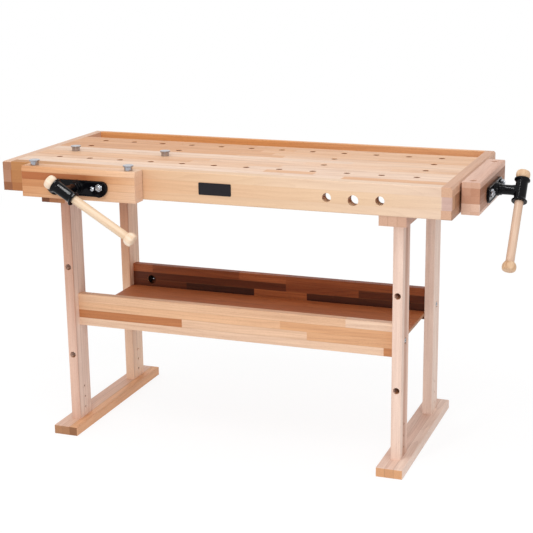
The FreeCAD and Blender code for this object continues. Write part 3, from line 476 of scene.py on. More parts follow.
def soften(piece, width, segments=2, sharpest=35):
    """Rounds every edge that is sharper than an angle, as a file or a casting would."""
    take(piece)
    bevel = piece.modifiers.new("softened", "BEVEL")
    bevel.width = width
    bevel.segments = segments
    bevel.limit_method = "ANGLE"
    bevel.angle_limit = math.radians(sharpest)
    bpy.ops.object.modifier_apply(modifier=bevel.name)
    bpy.ops.object.shade_smooth_by_angle(angle=math.radians(40))
    return piece


def even(piece):
    """Lets broad flat faces shade flat and their narrow rounded edges take up the turn."""
    take(piece)
    weighed = piece.modifiers.new("even", "WEIGHTED_NORMAL")
    weighed.keep_sharp = True
    bpy.ops.object.modifier_apply(modifier=weighed.name)
    return piece


def set_in_place(piece, matrix):
    """Moves a piece from its own axes to its place on the bench, and keeps the place in its mesh."""
    take(piece)
    piece.matrix_world = matrix
    bpy.ops.object.transform_apply(location=True, rotation=True, scale=True)
    return piece


def stands_for(piece, name, material):
    """A modelled piece takes the place of a CAD piece, with its finish, and moves as it does."""
    piece.data.materials.clear()
    piece.data.materials.append(material)
    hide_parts(name)
    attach(piece, nodes[name]["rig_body"])


enamel = Finish("black_enamel")
place = enamel.add("TexCoord").outputs["Object"]
dust = enamel.fit(enamel.noise(place, 900.0, 3.0), 0.45, 0.75)
enamel.put(enamel.shader.inputs["Base Color"], enamel.mix(dust, paint("1B181C"), paint("27242A")))
enamel.put(enamel.shader.inputs["Roughness"], enamel.fit(dust, 0, 1, 0.28, 0.42))
enamel.put(enamel.shader.inputs["Specular IOR Level"], 0.2)
enamel.bump(dust, 0.00003)

low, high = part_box("name_plate")
bpy.ops.object.select_all(action="DESELECT")
bpy.ops.mesh.primitive_plane_add(size=1)
plate = bpy.context.object
plate.name = "bare_name_plate"
edit(plate)
bpy.ops.transform.resize(value=(high.x - low.x, high.z - low.z, 1))
bpy.ops.mesh.bevel(offset=PLATE_CORNER, offset_type="OFFSET", segments=6, affect="VERTICES")
bpy.ops.mesh.select_all(action="SELECT")
bpy.ops.mesh.extrude_region_move(TRANSFORM_OT_translate={"value": (0, 0, high.y - low.y)})
bpy.ops.mesh.inset(thickness=PLATE_BORDER)
bpy.ops.mesh.extrude_region_move(TRANSFORM_OT_translate={"value": (0, 0, -PLATE_DISH)})
close(plate)
soften(plate, 0.00012)
plate_turn = Matrix(((1, 0, 0), (0, 0, -1), (0, 1, 0))).to_4x4()
set_in_place(plate, Matrix.Translation(((low.x + high.x) / 2, high.y, (low.z + high.z) / 2)) @ plate_turn)
stands_for(plate, "name_plate", enamel.material)


# ---------------------------------------------------------------- trestles
# Each trestle is a foot and a bearer with two legs tenoned between them, all of laminated beech.
# The front legs have dog holes, and every leg has three small peg holes above its foot.

PINK_BEECH = [(0.0, "BE8F78"), (0.35, "DBAF98"), (0.7, "EECAB6"), (1.0, "FBE3D3")]
GOLDEN_BEECH = [(0.0, "F2BE92"), (0.3, "E9BE9C"), (0.7, "F0CDB8"), (1.0, "FBE3D3")]
WARM_BEECH = [(0.0, "BE8F78"), (0.35, "DFAC8C"), (0.7, "F6CAA6"), (1.0, "FFE2C8")]
PINK_SHADE = "A27C6A"
LEG_STAVE = 0.0268
THIN_STAVE = 0.006         # what the planer left of the left legs' first stave
BEAM_STAVE = 0.0278
LEG_FADE = (0.3, 0.7)      # a leg's front changes its tone between these heights
LEG_FRONTS = {"front_left": (0.66, 0.24), "front_right": (0.92, 0.90),
              "rear_left": (0.90, 0.20), "rear_right": (1.0, 1.0)}
LEG_SIDES = {"front_left": (1.0, 1.0, 0.96), "front_right": (0.24, 0.68),
             "rear_left": (0.94, 1.0, 1.0), "rear_right": (1.0, 0.96)}
BEAM_STAVES = {"foot_left": (0.70, 0.60, 0.0), "foot_right": (0.94, 0.82, 0.98),
               "bearer_left": (0.06, 0.62, 0.70), "bearer_right": (0.62, 0.70, 0.34)}
BEAM_ENDS = {"foot_left": ("9C6C48", "C8966E"), "foot_right": ("B87E54", "E8B284"),
             "bearer_left": ("7A4628", "D29668"), "bearer_right": ("D0A68E", "DCB49A")}


for seed, (place, (foot, bearer)) in enumerate(LEG_FRONTS.items(), 41):
    name = "leg_" + place
    leg_marks = stave_marks((foot,) + LEG_SIDES[place])
    leg_marks[0] = list(zip(LEG_FADE, (foot, bearer)))
    tones = WARM_BEECH if place == "rear_left" else PINK_BEECH
    planed = LEG_STAVE - THIN_STAVE if "left" in place else 0.0
    leg_staves = [("Y", edge(name, "Y") - planed, LEG_STAVE)]
    dress(glued_beech(name + "_beech", "Z", leg_staves, tones=tones, marks=leg_marks, fade=True, figure=0.9,
                      shade=PINK_SHADE, seed=seed * 3), name)
for seed, (name, staves) in enumerate(BEAM_STAVES.items(), 54):
    beam_staves = [("X", edge(name, "X"), BEAM_STAVE)]
    tones = GOLDEN_BEECH if name == "foot_left" else PINK_BEECH
    dress(glued_beech(name + "_beech", "Y", beam_staves, tones=tones, marks=stave_marks(staves), figure=0.9,
                      shade=PINK_SHADE, ends=BEAM_ENDS[name], seed=seed * 3), name)


# ---------------------------------------------------------------- stretchers and shelf
# Both stretchers are glued from four rows of short staves of mixed colour; the rear one is darker,
# partly darker wood and partly painted shade. The shelf lies between them on two ledgers, in the
# shade of the top, and its deep orange is partly painted warm shade.

ROW = 0.0266
FRONT_ROWS = {
    0: (0.86, (0.495, 0.24)),
    1: (0.14, (-0.1675, 0.80), (0.251, 0.50)),
    2: (0.62, (0.166, 0.46)),
    3: (0.72, (0.374, 0.92)),
}
# The rear stretcher's tones are darker than the front's, and its left-middle rows darker still: partly darker
# wood, partly painted shade under the top and in a leg's shadow.
REAR_TONES = [(0.0, "3E1A0A"), (0.3, "7E401E"), (0.6, "BC6E3E"), (1.0, "E29C6C")]
REAR_ROWS = {
    0: (0.15,),
    1: (0.24, (-0.330, 0.04), (-0.0764, 0.60), (0.1135, 0.12)),
    2: (0.20, (0.039, 0.48), (0.295, 0.20)),
    3: (0.66, (-0.458, 0.44), (-0.1325, 0.64), (0.039, 0.52)),
}
# The shelf's deep orange is partly its wood and partly painted warm bounce light in the shade under the top.
SHELF_TONES = [(0.0, "C87A48"), (1.0, "DC9464")]
SHELF_STAVE = 0.0925

stretcher_staves = [("Z", edge("front_stretcher", "Z"), ROW)]
dress(glued_beech("front_stretcher_beech", "X", stretcher_staves, marks=butted(FRONT_ROWS, "front_stretcher"),
                  figure=0.8, seams=0.3, seed=61), "front_stretcher")
dress(glued_beech("rear_stretcher_beech", "X", stretcher_staves, tones=REAR_TONES,
                  marks=butted(REAR_ROWS, "rear_stretcher"), figure=1.6, seed=67), "rear_stretcher")
shelf_staves = [("Y", edge("shelf", "Y"), SHELF_STAVE)]
dress(glued_beech("shelf_beech", "X", shelf_staves, tones=SHELF_TONES, low=0.0, high=1.0, seed=71),
      "shelf", "front_ledger", "rear_ledger")


# ---------------------------------------------------------------- screws, bolts and washers
# Coach screws, knock-down bolts and their washers are zinc-plated steel. The plating has a fine
# crystal pattern and is a little duller where it was handled. The stretchers' dowels are beech.

DOWEL_TONES = [(0.0, "E8C9A2"), (1.0, "F6E2C8")]


def plated(name, code, dull, roughness, crystals=450.0):
    """Bright metal whose surface changes a little from crystal to crystal."""
    metal = Finish(name)
    place = metal.add("TexCoord").outputs["Object"]
    cells = metal.add("TexVoronoi", {"Vector": place, "Scale": crystals}).outputs["Color"]
    spangle = metal.add("SeparateXYZ", {0: cells}).outputs[0]
    cloud = metal.fit(metal.noise(place, 160.0, 4.0), 0.35, 0.7)
    share = metal.math("MULTIPLY_ADD", spangle, 0.25, metal.math("MULTIPLY", cloud, 0.5))
    metal.put(metal.shader.inputs["Base Color"], metal.mix(share, paint(code), paint(dull)))
    metal.put(metal.shader.inputs["Roughness"], metal.fit(share, 0, 1, roughness * 0.75, roughness * 1.4))
    metal.put(metal.shader.inputs["Metallic"], 1.0)
    metal.bump(cloud, 0.00004)
    return metal.material


zinc = plated("zinc_plating", "C2C5CA", "8E9299", 0.20)
dress(zinc, "ledger_screws", "stretcher_bolts", "stretcher_washers", "top_coach_screws")
dress(glued_beech("dowel_beech", "X", [], tones=DOWEL_TONES, seed=77), "stretcher_dowels")


# ---------------------------------------------------------------- vise jaws
# Each jaw is a block glued from thin beech staves, two deep and several high, with a lip along
# its upper edge on the front vise. Two dog holes go down through it.

JAW_STAVE = 0.0226
JAW_LAYER = 0.0277
BOTTOM_STRIP = 0.0105      # what is left of the lowest stave after the jaw is trimmed
JAW_LEFT = -0.62
JAW_RIGHT = -0.23
TAIL_TONES = [(0.0, "9C6849"), (0.15, "B98A70"), (0.4, "DBAF98"), (0.7, "EECAB6"), (1.0, "FBE3D3")]
TAIL_INNER = (0.80, 0.76, 0.08, 0.18, 0.56)
# The outer staves darken round the plate's height: partly darker heartwood, partly painted shade from the
# plate and hub.
TAIL_OUTER = (0.58, 0.16, 0.06, 0.0, 0.46)
PAINTED_LIT_END = 0.84            # painted light: the second outer stave's lit end is paler than its shaded side
PAINTED_LIT_END_DEPTH = 0.002

jaw_edge = edge("front_jaw", "Z") + BOTTOM_STRIP - JAW_STAVE
jaw_staves = [("Z", jaw_edge, JAW_STAVE), ("Y", edge("front_jaw", "Y"), JAW_LAYER)]
# Towards the hub and plate at the left, the jaw's staves darken: partly darker wood, partly painted shade
# cast by the hub, handle and plate.
front_jaw_marks = {
    0: [(JAW_LEFT, 0.42), (JAW_RIGHT, 0.80)],
    1: [(JAW_LEFT, 0.34), (-0.40, 0.52), (JAW_RIGHT, 0.80)],
    2: [(JAW_LEFT, 0.25), (-0.40, 0.33), (JAW_RIGHT, 0.74)],
    3: [(JAW_LEFT, 0.04), (-0.40, 0.04), (-0.30, 0.44), (JAW_RIGHT, 0.62)],
    4: [(JAW_LEFT, 0.34), (-0.40, 0.53), (JAW_RIGHT, 0.78)],
    4 + LAYER_STEP: [(JAW_LEFT, 0.54), (JAW_RIGHT, 0.84)],
}
dress(glued_beech("front_jaw_beech", "X", jaw_staves, low=0.6, high=0.9, marks=front_jaw_marks, fade=True,
                  figure=0.8, seams=0.2, ends=("EDC29F", "F8D2B4"), seed=83), "front_jaw")
tail_staves = [("Z", jaw_edge, JAW_STAVE), ("X", edge("tail_jaw", "X"), JAW_LAYER)]
tail_jaw_marks = stave_marks(TAIL_INNER)
for line, mark in stave_marks(TAIL_OUTER).items():
    tail_jaw_marks[line + LAYER_STEP] = mark
tail_low, tail_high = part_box("tail_jaw")
# painted light and shade: the end of the second outer stave, which faces the light, is paler than its side in
# shade
tail_jaw_marks[1 + LAYER_STEP] = [(tail_low.y, PAINTED_LIT_END), (tail_low.y + PAINTED_LIT_END_DEPTH, TAIL_OUTER[1]),
                                  (tail_high.y, TAIL_OUTER[1])]
dress(glued_beech("tail_jaw_beech", "Y", tail_staves, tones=TAIL_TONES, marks=tail_jaw_marks, figure=0.8,
                  seams=0.15, ends=("CB9678", "F0CDB6"), seed=87), "tail_jaw")


# ---------------------------------------------------------------- cast face plates
# Each vise has an oval plate cast in iron and enamelled gloss black: a dish with a raised rim, a
# round foot, and the boss that the screw turns in. Two nuts and two coach screws hold it. The
# stretchers' nuts and saddles are black too: painted shade for the dark inside of their pockets.

FACE_HALF_HEIGHT = 0.024
FACE_HALF_LENGTH = 0.103
FACE_TOP_CORNER = 0.0195
FACE_DROP = 0.002          # how far the plate's middle lies below the screw
FACE_BELLY = 0.004         # how far its lower edge bows down
FACE_BASE = 0.0065         # how thick it is inside the rim
FACE_RIM = 0.0025          # how far the rim stands above that
FACE_RIM_WIDTH = 0.004
FACE_EDGE = 0.0011         # how far its edges are rounded
FACE_BOLT_SPREAD = 0.0535
FACE_BOLT_HOLE = 0.0045
ROD_SPREAD = 0.080         # from the screw to each guide rod
ROD_RISE = 0.004
STUD = 0.007
STUD_GAP = 0.00025
THROUGH = (-0.01, 0.03)    # from behind a plate to well in front of it
BOSS_BORE = 0.0131
BOSS = [(0, 0.001), (0.0226, 0.001), (0.0226, 0.0104), (0.0222, 0.0112), (0.0206, 0.0118),
        (0.0200, 0.0130), (0.0200, 0.0176), (0.0193, 0.0192), (0.0172, 0.0202), (0, 0.0202)]

black = Finish("cast_black")
place = black.add("TexCoord").outputs["Object"]
sand = black.noise(place, 700.0, 4.0, 0.6)
wave = black.noise(place, 90.0, 2.0)
black.put(black.shader.inputs["Base Color"], black.mix(wave, paint("060608"), paint("0D0D11")))
black.put(black.shader.inputs["Roughness"], black.fit(sand, 0.3, 0.7, 0.05, 0.10))
black.put(black.shader.inputs["Specular IOR Level"], 0.13)
black.bump(black.math("MULTIPLY_ADD", wave, 1.2, black.math("MULTIPLY", sand, 0.25)), 0.00008)


def drawn(name, points):
    """A line drawn point by point, from pairs of radius and height."""
    bpy.ops.object.select_all(action="DESELECT")
    bpy.ops.mesh.primitive_plane_add(size=0.001)
    piece = bpy.context.object
    piece.name = name
    edit(piece)
    bpy.ops.mesh.merge(type="CENTER")
    bpy.ops.transform.translate(value=(points[0][0], 0, points[0][1]))
    for (r0, z0), (r1, z1) in zip(points, points[1:]):
        bpy.ops.mesh.extrude_vertices_move(TRANSFORM_OT_translate={"value": (r1 - r0, 0, z1 - z0)})
    return piece


def turned(name, points, sides=56):
    """A piece turned on the Z axis from its half outline."""
    piece = drawn(name, points)
    bpy.ops.mesh.select_all(action="SELECT")
    bpy.ops.mesh.spin(steps=sides, angle=math.tau, center=(0, 0, 0), axis=(0, 0, 1))
    return close(piece)


def combine(piece, other, operation="UNION"):
    """Welds another solid to a piece, or cuts it away, and takes the other one off the bench."""
    take(piece)
    join = piece.modifiers.new("combined", "BOOLEAN")
    join.operation = operation
    join.solver = "EXACT"
    join.object = other
    bpy.ops.object.modifier_apply(modifier=join.name)
    bpy.data.objects.remove(other)
    return piece


def bar(radius, x, y, low, high, sides=40):
    """A plain round bar for cutting holes."""
    cutter = turned("cutter", [(0, low), (radius, low), (radius, high), (0, high)], sides)
    return set_in_place(cutter, Matrix.Translation((x, y, 0)))


def select_where(piece, test):
    """Selects the corners of the piece that pass the test."""
    bpy.ops.mesh.select_all(action="DESELECT")
    bpy.ops.object.mode_set(mode="OBJECT")
    for vertex in piece.data.vertices:
        vertex.select = test(vertex.co)
    bpy.ops.object.mode_set(mode="EDIT")


def cast_plate(name):
    """The oval plate in its own axes: X along the jaw, Y up and Z out of it."""
    bpy.ops.object.select_all(action="DESELECT")
    bpy.ops.mesh.primitive_plane_add(size=2)
    plate = bpy.context.object
    plate.name = name
    edit(plate)
    bpy.ops.mesh.select_mode(type="VERT")
    bpy.ops.transform.resize(value=(FACE_HALF_LENGTH, FACE_HALF_HEIGHT, 1))
    for side, corner in ((1, FACE_TOP_CORNER), (-1, 2 * FACE_HALF_HEIGHT - FACE_TOP_CORNER)):
        select_where(plate, lambda co: abs(co.y - side * FACE_HALF_HEIGHT) < 1e-5)
        bpy.ops.mesh.bevel(offset=corner * 0.998, offset_type="OFFSET", segments=14, affect="VERTICES")
    bpy.ops.mesh.select_all(action="SELECT")
    bpy.ops.mesh.remove_doubles(threshold=0.0003)
    select_where(plate, lambda co: abs(co.y + FACE_HALF_HEIGHT) < 1e-5)
    bpy.ops.mesh.subdivide(number_cuts=13)
    for x in sorted({round(abs(v.co.x), 6) for v in plate.data.vertices if v.co.y < 0}):
        select_where(plate, lambda co: abs(abs(co.x) - x) < 2e-6 and co.y < 0)
        sag = FACE_BELLY * (1 - (x / FACE_HALF_LENGTH) ** 2)
        bpy.ops.transform.translate(value=(0, -sag, 0))
    bpy.ops.mesh.select_all(action="SELECT")
    bpy.ops.mesh.extrude_region_move(TRANSFORM_OT_translate={"value": (0, 0, FACE_BASE + FACE_RIM)})
    bpy.ops.mesh.inset(thickness=FACE_RIM_WIDTH)
    bpy.ops.mesh.extrude_region_move(TRANSFORM_OT_translate={"value": (0, 0, -FACE_RIM)})
    close(plate)
    set_in_place(plate, Matrix.Translation((0, -FACE_DROP, 0)))
    soften(plate, FACE_EDGE, 3)
    combine(plate, turned("boss", BOSS))
    combine(plate, bar(BOSS_BORE, 0, 0, *THROUGH), "DIFFERENCE")
    for side in (-1, 1):
        combine(plate, bar(STUD + STUD_GAP, side * ROD_SPREAD, ROD_RISE, *THROUGH), "DIFFERENCE")
        combine(plate, bar(FACE_BOLT_HOLE, side * FACE_BOLT_SPREAD, -FACE_DROP, *THROUGH), "DIFFERENCE")
    return even(plate)


def vise_axes(name, along, out):
    """A vise's own axes on the bench: X along its jaw, Y up, and Z out of the jaw's face, from the
    point where the line of the screw meets that face."""
    low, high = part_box(name + "_screw_collar")
    middle = (low + high) / 2
    jaw_reach = max(out.dot(corner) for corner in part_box(name + "_jaw"))
    start = middle + out * (jaw_reach - out.dot(middle))
    return Matrix.Translation(start) @ Matrix((along, Vector((0, 0, 1)), out)).transposed().to_4x4()


vises = {
    "front": vise_axes("front", Vector((1, 0, 0)), Vector((0, -1, 0))),
    "tail": vise_axes("tail", Vector((0, 1, 0)), Vector((1, 0, 0))),
}
for name, axes in vises.items():
    plate = set_in_place(cast_plate(name + "_cast_plate"), axes)
    stands_for(plate, name + "_face_plate", black.material)
# painted shade: the stretchers' nuts and saddles are black for the shade deep in their pockets
dress(black.material, "stretcher_nuts", "stretcher_saddles")


# ---------------------------------------------------------------- fastenings of the plates
# A thick black washer and a zinc-plated hexagon nut hold each guide rod in the plate. Two coach
# screws with domed hexagon heads go through the plate into the jaw.

NUT_FLATS = 0.021          # across the flats
NUT_SEAT = 0.009           # from the jaw's face out to the nut
NUT_THICK = 0.009
HEAD_FLATS = 0.013
HEAD_THICK = 0.0053
HEAD_CROWN = 0.0022
COACH_SHANK = 0.0485
COACH_RADIUS = 0.004
COACH_POINT = 0.006


def hexagon_head(name, flats, seat, thick, crown=0.0, shank=()):
    """A hexagon with its corners turned down at the outer end, as nuts and bolt heads have. crown
    is how far its face is domed, and shank is the outline of what hangs below its seat."""
    corners = flats / math.sqrt(3)
    clear = corners * 1.05
    inner = flats / 2 * 0.94
    top = seat + thick
    rim = top - crown
    spare = 0.002
    low = shank[0][1] - spare if shank else seat
    turning = [*shank, (clear, seat)] if shank else [(0, low - spare), (clear, low - spare)]
    turning += [(clear, rim - (clear - inner) * 0.55)]
    shares = (1.0, 0.85, 0.7, 0.5, 0.25, 0.0) if crown else (1.0, 0.0)
    turning += [(inner * share, rim + crown * (1 - share * share)) for share in shares]
    length = top + spare - low
    middle = (0, 0, low + length / 2)
    bpy.ops.object.select_all(action="DESELECT")
    bpy.ops.mesh.primitive_cylinder_add(vertices=6, radius=corners, depth=length, location=middle)
    head = bpy.context.object
    head.name = name
    bpy.ops.object.transform_apply(location=True, rotation=True, scale=True)
    combine(head, turned("turning", turning, 48), "INTERSECT")
    return even(soften(head, flats * 0.012, 2, 25))


def joined(name, pieces):
    """Several pieces as one, kept as they stand."""
    bpy.ops.object.select_all(action="DESELECT")
    for piece in pieces:
        piece.select_set(True)
    bpy.context.view_layer.objects.active = pieces[0]
    bpy.ops.object.join()
    pieces[0].name = name
    return pieces[0]


for name, axes in vises.items():
    nuts, bolts = [], []
    for side in (-1, 1):
        nut = hexagon_head("nut", NUT_FLATS, NUT_SEAT, NUT_THICK)
        top = NUT_SEAT + NUT_THICK
        sink = [(0, NUT_SEAT - 0.001), (STUD, NUT_SEAT - 0.001), (STUD, top - 0.0009),
                (STUD + 0.0012, top + 0.0003), (0, top + 0.0003)]
        combine(nut, turned("bore", sink, 40), "DIFFERENCE")
        nuts.append(set_in_place(nut, axes @ Matrix.Translation((side * ROD_SPREAD, ROD_RISE, 0))))
        tip = FACE_BASE - COACH_SHANK
        shank = [(0, tip), (COACH_RADIUS, tip + COACH_POINT), (COACH_RADIUS, FACE_BASE)]
        bolt = hexagon_head("bolt", HEAD_FLATS, FACE_BASE, HEAD_THICK, HEAD_CROWN, shank)
        bolts.append(set_in_place(bolt, axes @ Matrix.Translation((side * FACE_BOLT_SPREAD, -FACE_DROP, 0))))
    stands_for(joined(name + "_stud_nuts", nuts), name + "_rod_nuts", zinc)
    stands_for(joined(name + "_coach_screws", bolts), name + "_face_bolts", zinc)
    dress(zinc, name + "_bracket_screws")
    dress(black.material, name + "_rod_washers")


# ---------------------------------------------------------------- guide rods and collars
# Two bright steel rods guide each jaw and slide in the bracket's sleeves. Their outer ends are
# turned down and threaded. The ring behind the plate makes the jaw follow the screw.

ROD = 0.010
STUD_START = 0.010         # from the jaw's face out to the stud's thread
STUD_END = 0.0215
STUD_ROOT = 0.0061
STUD_PITCH = 0.002
STUD_THREAD = [(STUD_ROOT, 0.0), (STUD_ROOT, 0.0003), (STUD, 0.0009), (STUD, 0.0011), (STUD_ROOT, 0.0018),
               (STUD_ROOT, 0.002)]


def machined(name, code, roughness, along):
    """Bright steel with the fine rings that a lathe or a grinder leaves round a bar."""
    metal = Finish(name)
    place = metal.add("TexCoord").outputs["Object"]
    coords = metal.add("SeparateXYZ", {0: place}).outputs
    lengthwise = metal.math("MULTIPLY", coords[AXES.index(along)], 2600.0)
    lines = metal.noise(metal.add("CombineXYZ", {0: lengthwise}).outputs[0], 1.0, 3.0, 0.7)
    cloud = metal.noise(place, 60.0, 4.0)
    share = metal.fit(metal.math("MULTIPLY_ADD", lines, 0.6, metal.math("MULTIPLY", cloud, 0.5)), 0.35, 0.8)
    metal.put(metal.shader.inputs["Base Color"], metal.mix(share, paint(code), paint("8F9298")))
    metal.put(metal.shader.inputs["Roughness"], metal.fit(share, 0, 1, roughness * 0.7, roughness * 1.5))
    metal.put(metal.shader.inputs["Metallic"], 1.0)
    metal.bump(lines, 0.00003)
    return metal.material


steel = {"front": machined("rod_steel_front", "C9CBCF", 0.24, "Y"),
         "tail": machined("rod_steel_tail", "C9CBCF", 0.24, "X")}


def reach_back(name, axes):
    """How far behind the jaw's face a piece of the vise ends, as a place on the vise's own Z."""
    out = axes.to_3x3() @ Vector((0, 0, 1))
    return min(out.dot(corner - axes.translation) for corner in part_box(name))


def thread(name, profile, pitch, low, high):
    """A threaded length, cut square at both ends."""
    piece = drawn(name, profile)
    bpy.ops.object.mode_set(mode="OBJECT")
    helix = piece.modifiers.new("helix", "SCREW")
    helix.screw_offset = pitch
    helix.iterations = math.ceil((high - low) / pitch) + 2
    helix.steps = helix.render_steps = 28
    bpy.ops.object.modifier_apply(modifier=helix.name)
    edit(piece)
    bpy.ops.mesh.remove_doubles(threshold=2e-6)
    bpy.ops.transform.translate(value=(0, 0, low - 1.5 * pitch))
    for height, way in ((low, -1), (high, 1)):
        bpy.ops.mesh.select_all(action="SELECT")
        bpy.ops.mesh.bisect(plane_co=(0, 0, height), plane_no=(0, 0, way), use_fill=True, clear_outer=True)
    return close(piece, 50)


for name, axes in vises.items():
    rear = reach_back(name + "_guide_rods", axes)
    outline = [(0, rear), (ROD - 0.001, rear), (ROD, rear + 0.001), (ROD, -0.0006), (ROD - 0.0006, 0),
               (STUD_ROOT, 0), (STUD_ROOT, STUD_END - 0.0012), (STUD_ROOT - 0.0012, STUD_END), (0, STUD_END)]
    rods = []
    for side in (-1, 1):
        rods.append(turned("rod", outline))
        rods.append(thread("stud", STUD_THREAD, STUD_PITCH, STUD_START, STUD_END - 0.0008))
        for piece in rods[-2:]:
            set_in_place(piece, axes @ Matrix.Translation((side * ROD_SPREAD, ROD_RISE, 0)))
    stands_for(joined(name + "_turned_rods", rods), name + "_guide_rods", steel[name])
    dress(steel[name], name + "_screw_collar")


# ---------------------------------------------------------------- screws
# The screw has a square-shouldered thread of 6 mm pitch. Its nose carries the cross hub, a cast
# barrel with a flange at each end, which the handle slides through. Hub and nose are black.

PITCH = 0.006
CREST = 0.0120             # the thread's outer radius
ROOT = 0.0092
THREAD = [(ROOT, 0.0), (ROOT, 0.0026), (CREST, 0.0032), (CREST, 0.0054), (ROOT, 0.006)]
JOURNAL = 0.0129
NOSE = [(0, -0.0002), (JOURNAL, -0.0002), (JOURNAL, 0.0206), (0.0166, 0.0206), (0.0174, 0.0214),
        (0.0174, 0.0262), (0.0166, 0.0272), (0.0150, 0.0282), (0.0150, 0.0560), (0.0162, 0.0640),
        (0.0162, 0.0800), (0, 0.0800)]
HUB_REACH = 0.083          # from the jaw's face out to the handle's line
HUB_BORE = 0.0135
HUB = [(HUB_BORE, 0.0), (HUB_BORE, 0.0380), (0.0219, 0.0380), (0.0235, 0.0366), (0.0235, 0.0334),
       (0.0222, 0.0320), (0.0196, 0.0300), (0.0184, 0.0272), (0.0180, 0.0244), (0.0180, 0.0232),
       (0.0180, 0.0)]


def handle_way(name):
    """The way that a vise's handle slides, on the bench."""
    slide = next(joint for joint in frame["joints"] if joint["name"] == name + "_handle_slide")
    return Vector(slide["axis"])


def nose_with_hub(name, way):
    """The screw's nose and hub in the vise's own axes, where way is the handle's."""
    hub = HUB + [(radius, -height) for radius, height in reversed(HUB[1:-1])]
    barrel = turned("barrel", hub + HUB[:1], 72)
    to_handle = way.to_track_quat("Z", "Y").to_matrix().to_4x4()
    bore_cut = bar(HUB_BORE, 0, 0, -0.06, 0.06, 72)
    for part in (barrel, bore_cut):
        set_in_place(part, Matrix.Translation((0, 0, HUB_REACH)) @ to_handle)
    piece = turned(name, NOSE, 64)
    combine(piece, bore_cut, "DIFFERENCE")
    combine(piece, barrel)
    soften(piece, 0.0006, 2, 50)
    return piece


for name, axes in vises.items():
    hub = set_in_place(nose_with_hub(name + "_hub", axes.to_3x3().inverted() @ handle_way(name)), axes)
    stands_for(hub, name + "_screw", black.material)
    rear = reach_back(name + "_screw", axes)
    worm = set_in_place(thread(name + "_thread", THREAD, PITCH, rear, 0.0), axes)
    worm.data.materials.append(steel[name])
    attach(worm, nodes[name + "_screw"]["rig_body"])


# ---------------------------------------------------------------- handles
# A turned bar of pale wood slides through the hub. A knob with a rounded end is glued on a
# spigot at each end of the bar and keeps it from falling out.

BAR_RADIUS = 0.013
HANDLE_RING = 0.0024       # from one year's ring to the next
KNOB = [(0, 0.0), (0.0158, 0.0), (0.0166, 0.0006), (0.0180, 0.0030), (0.0200, 0.0065), (0.0210, 0.0100),
        (0.02125, 0.0140), (0.0210, 0.0178), (0.0203, 0.0210), (0.0188, 0.0236), (0.0165, 0.0252),
        (0.0110, 0.0260), (0, 0.0262)]
# The tail handle's tones are darker than the front's: painted shade, for the same wood lying in shade at the
# tail vise.
BAR_TONES = {"front": [(0.0, "CCA680"), (0.6, "E1C5A6"), (1.0, "EBD5BC")],
             "tail": [(0.0, "BA9070"), (0.6, "D7B59C"), (1.0, "E4C8B0")]}
KNOB_TONES = {"front": [(0.0, "DCB894"), (0.6, "EED6BC"), (1.0, "F6E6D4")],
              "tail": [(0.0, "B4845E"), (0.6, "D8B28C"), (1.0, "EACCAC")]}


def turned_wood(name, tones, way, middle, seed):
    """Pale wood with its grain along a handle that lies aslant."""
    wood = Finish(name)
    straight = Vector(way).rotation_difference(Vector((0, 0, 1))).to_matrix()
    place = wood.add("TexCoord")
    offset = -(straight @ Vector(middle))
    turned_place = wood.add("Mapping", {"Vector": place.outputs["Object"], "Location": offset,
                                        "Rotation": straight.to_euler()}).outputs[0]
    x, y, z = wood.add("SeparateXYZ", {0: turned_place}).outputs

    def stretched(lengthwise, crosswise):
        scaled = [wood.math("MULTIPLY", v, k) for v, k in ((x, crosswise), (y, crosswise), (z, lengthwise))]
        return wood.add("VectorMath", {0: wood.add("CombineXYZ", enumerate(scaled)).outputs[0],
                                       1: (seed, seed, seed)}).outputs[0]

    across = wood.math("ADD", x, 0.045)
    squares = wood.math("ADD", wood.math("POWER", across, 2.0), wood.math("POWER", y, 2.0))
    wander = wood.fit(wood.noise(stretched(3, 12)), 0.2, 0.8, -0.004, 0.004)
    heart = wood.math("ADD", wood.math("SQRT", squares), wander)
    late = wood.math("POWER", wood.math("FRACT", wood.math("DIVIDE", heart, HANDLE_RING)), 3.0)
    streaks = wood.fit(wood.noise(stretched(4, 90), 1.0, 3.0, 0.6), 0.3, 0.7)
    fibres = wood.fit(wood.noise(stretched(20, 700), 1.0, 3.0), 0.3, 0.7)
    tone = wood.math("SUBTRACT", wood.fit(streaks, 0, 1, 1.0, 0.35), wood.math("MULTIPLY", late, 0.25))
    tone = wood.math("SUBTRACT", tone, wood.math("MULTIPLY", fibres, 0.12))
    wood.put(wood.shader.inputs["Base Color"], wood.ramp(tone, [(p, paint(c)) for p, c in tones]))
    wood.put(wood.shader.inputs["Roughness"], wood.fit(fibres, 0, 1, 0.38, 0.5))
    wood.bump(fibres, 0.00012)
    return wood.material


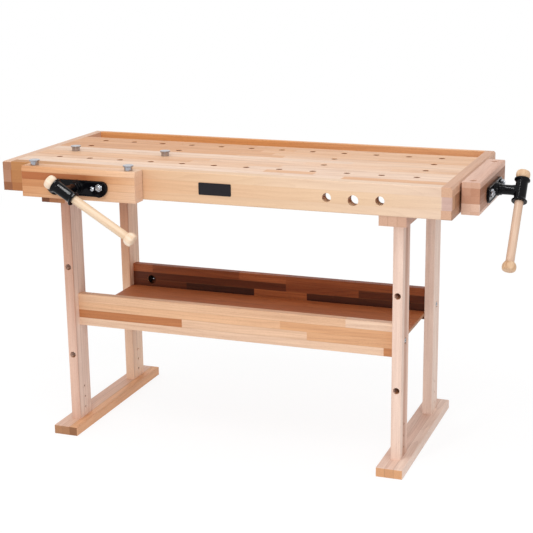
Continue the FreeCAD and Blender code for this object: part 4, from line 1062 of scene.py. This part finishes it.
for seed, (name, axes) in enumerate(vises.items()):
    way = handle_way(name).normalized()
    hub_middle = axes @ Vector((0, 0, HUB_REACH))
    bar_wood = turned_wood(name + "_bar_wood", BAR_TONES[name], way, hub_middle, seed * 5.0)
    knob_wood = turned_wood(name + "_knob_wood", KNOB_TONES[name], way, hub_middle, seed * 5.0 + 2)
    ends = {}
    for knob in ("upper", "lower"):
        side = 1 if knob == "upper" else -1
        solid = nodes[name + "_handle_" + knob + "_knob"]
        corners = [solid.matrix_world @ corner.co - hub_middle for corner in solid.data.vertices]
        ends[knob] = side * min(side * way.dot(corner) for corner in corners)
        turn_up = (way * side).to_track_quat("Z", "Y").to_matrix().to_4x4()
        piece = turned(name + "_turned_" + knob + "_knob", KNOB)
        set_in_place(piece, Matrix.Translation(hub_middle + way * ends[knob]) @ turn_up)
        stands_for(piece, name + "_handle_" + knob + "_knob", knob_wood)
    half = (ends["upper"] - ends["lower"]) / 2
    outline = [(0, -half), (BAR_RADIUS - 0.0008, -half), (BAR_RADIUS, 0.0012 - half),
               (BAR_RADIUS, 0.004 - half), (BAR_RADIUS - 0.0004, 0.0044 - half), (BAR_RADIUS, 0.0048 - half)]
    outline += [(radius, -height) for radius, height in reversed(outline)]
    stick = turned(name + "_turned_bar", outline)
    turn_up = way.to_track_quat("Z", "Y").to_matrix().to_4x4()
    set_in_place(stick, Matrix.Translation(hub_middle + way * (ends["upper"] - half)) @ turn_up)
    stands_for(stick, name + "_handle_bar", bar_wood)


# ---------------------------------------------------------------- brackets
# Behind the apron and behind the right end cap sits a black cast bracket with the screw's nut in
# its middle and a long sleeve for each guide rod.

for name in vises:
    dress(black.material, name + "_bracket")


# ---------------------------------------------------------------- bench dogs
# Four round dogs are turned from steel and chromed. Each has a shank for the holes, a thicker
# body that rests on the top, and a flat cap with a fine edge.

DOG = [(0, -0.0600), (0.0082, -0.0600), (0.00992, -0.0578), (0.00992, -0.0260), (0.0093, -0.0254),
       (0.0093, -0.0222), (0.00992, -0.0216), (0.00992, 0.0), (0.01275, 0.0), (0.01275, 0.0113),
       (0.0122, 0.0120), (0.0150, 0.0120), (0.01625, 0.0128), (0.01625, 0.0162), (0.0154, 0.0170),
       (0.0120, 0.0170), (0.0117, 0.0167), (0, 0.0167)]

chrome = plated("dog_chrome", "B6B6BC", "8E8E96", 0.07, 2400.0)
for name in ("top_left", "top_right", "jaw_left", "jaw_right"):
    low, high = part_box("dog_" + name)
    foot = Vector(((low.x + high.x) / 2, (low.y + high.y) / 2, low.z - DOG[0][1]))
    dog = set_in_place(turned(name + "_turned_dog", DOG), Matrix.Translation(foot))
    soften(dog, 0.0002, 2, 40)
    stands_for(dog, "dog_" + name, chrome)
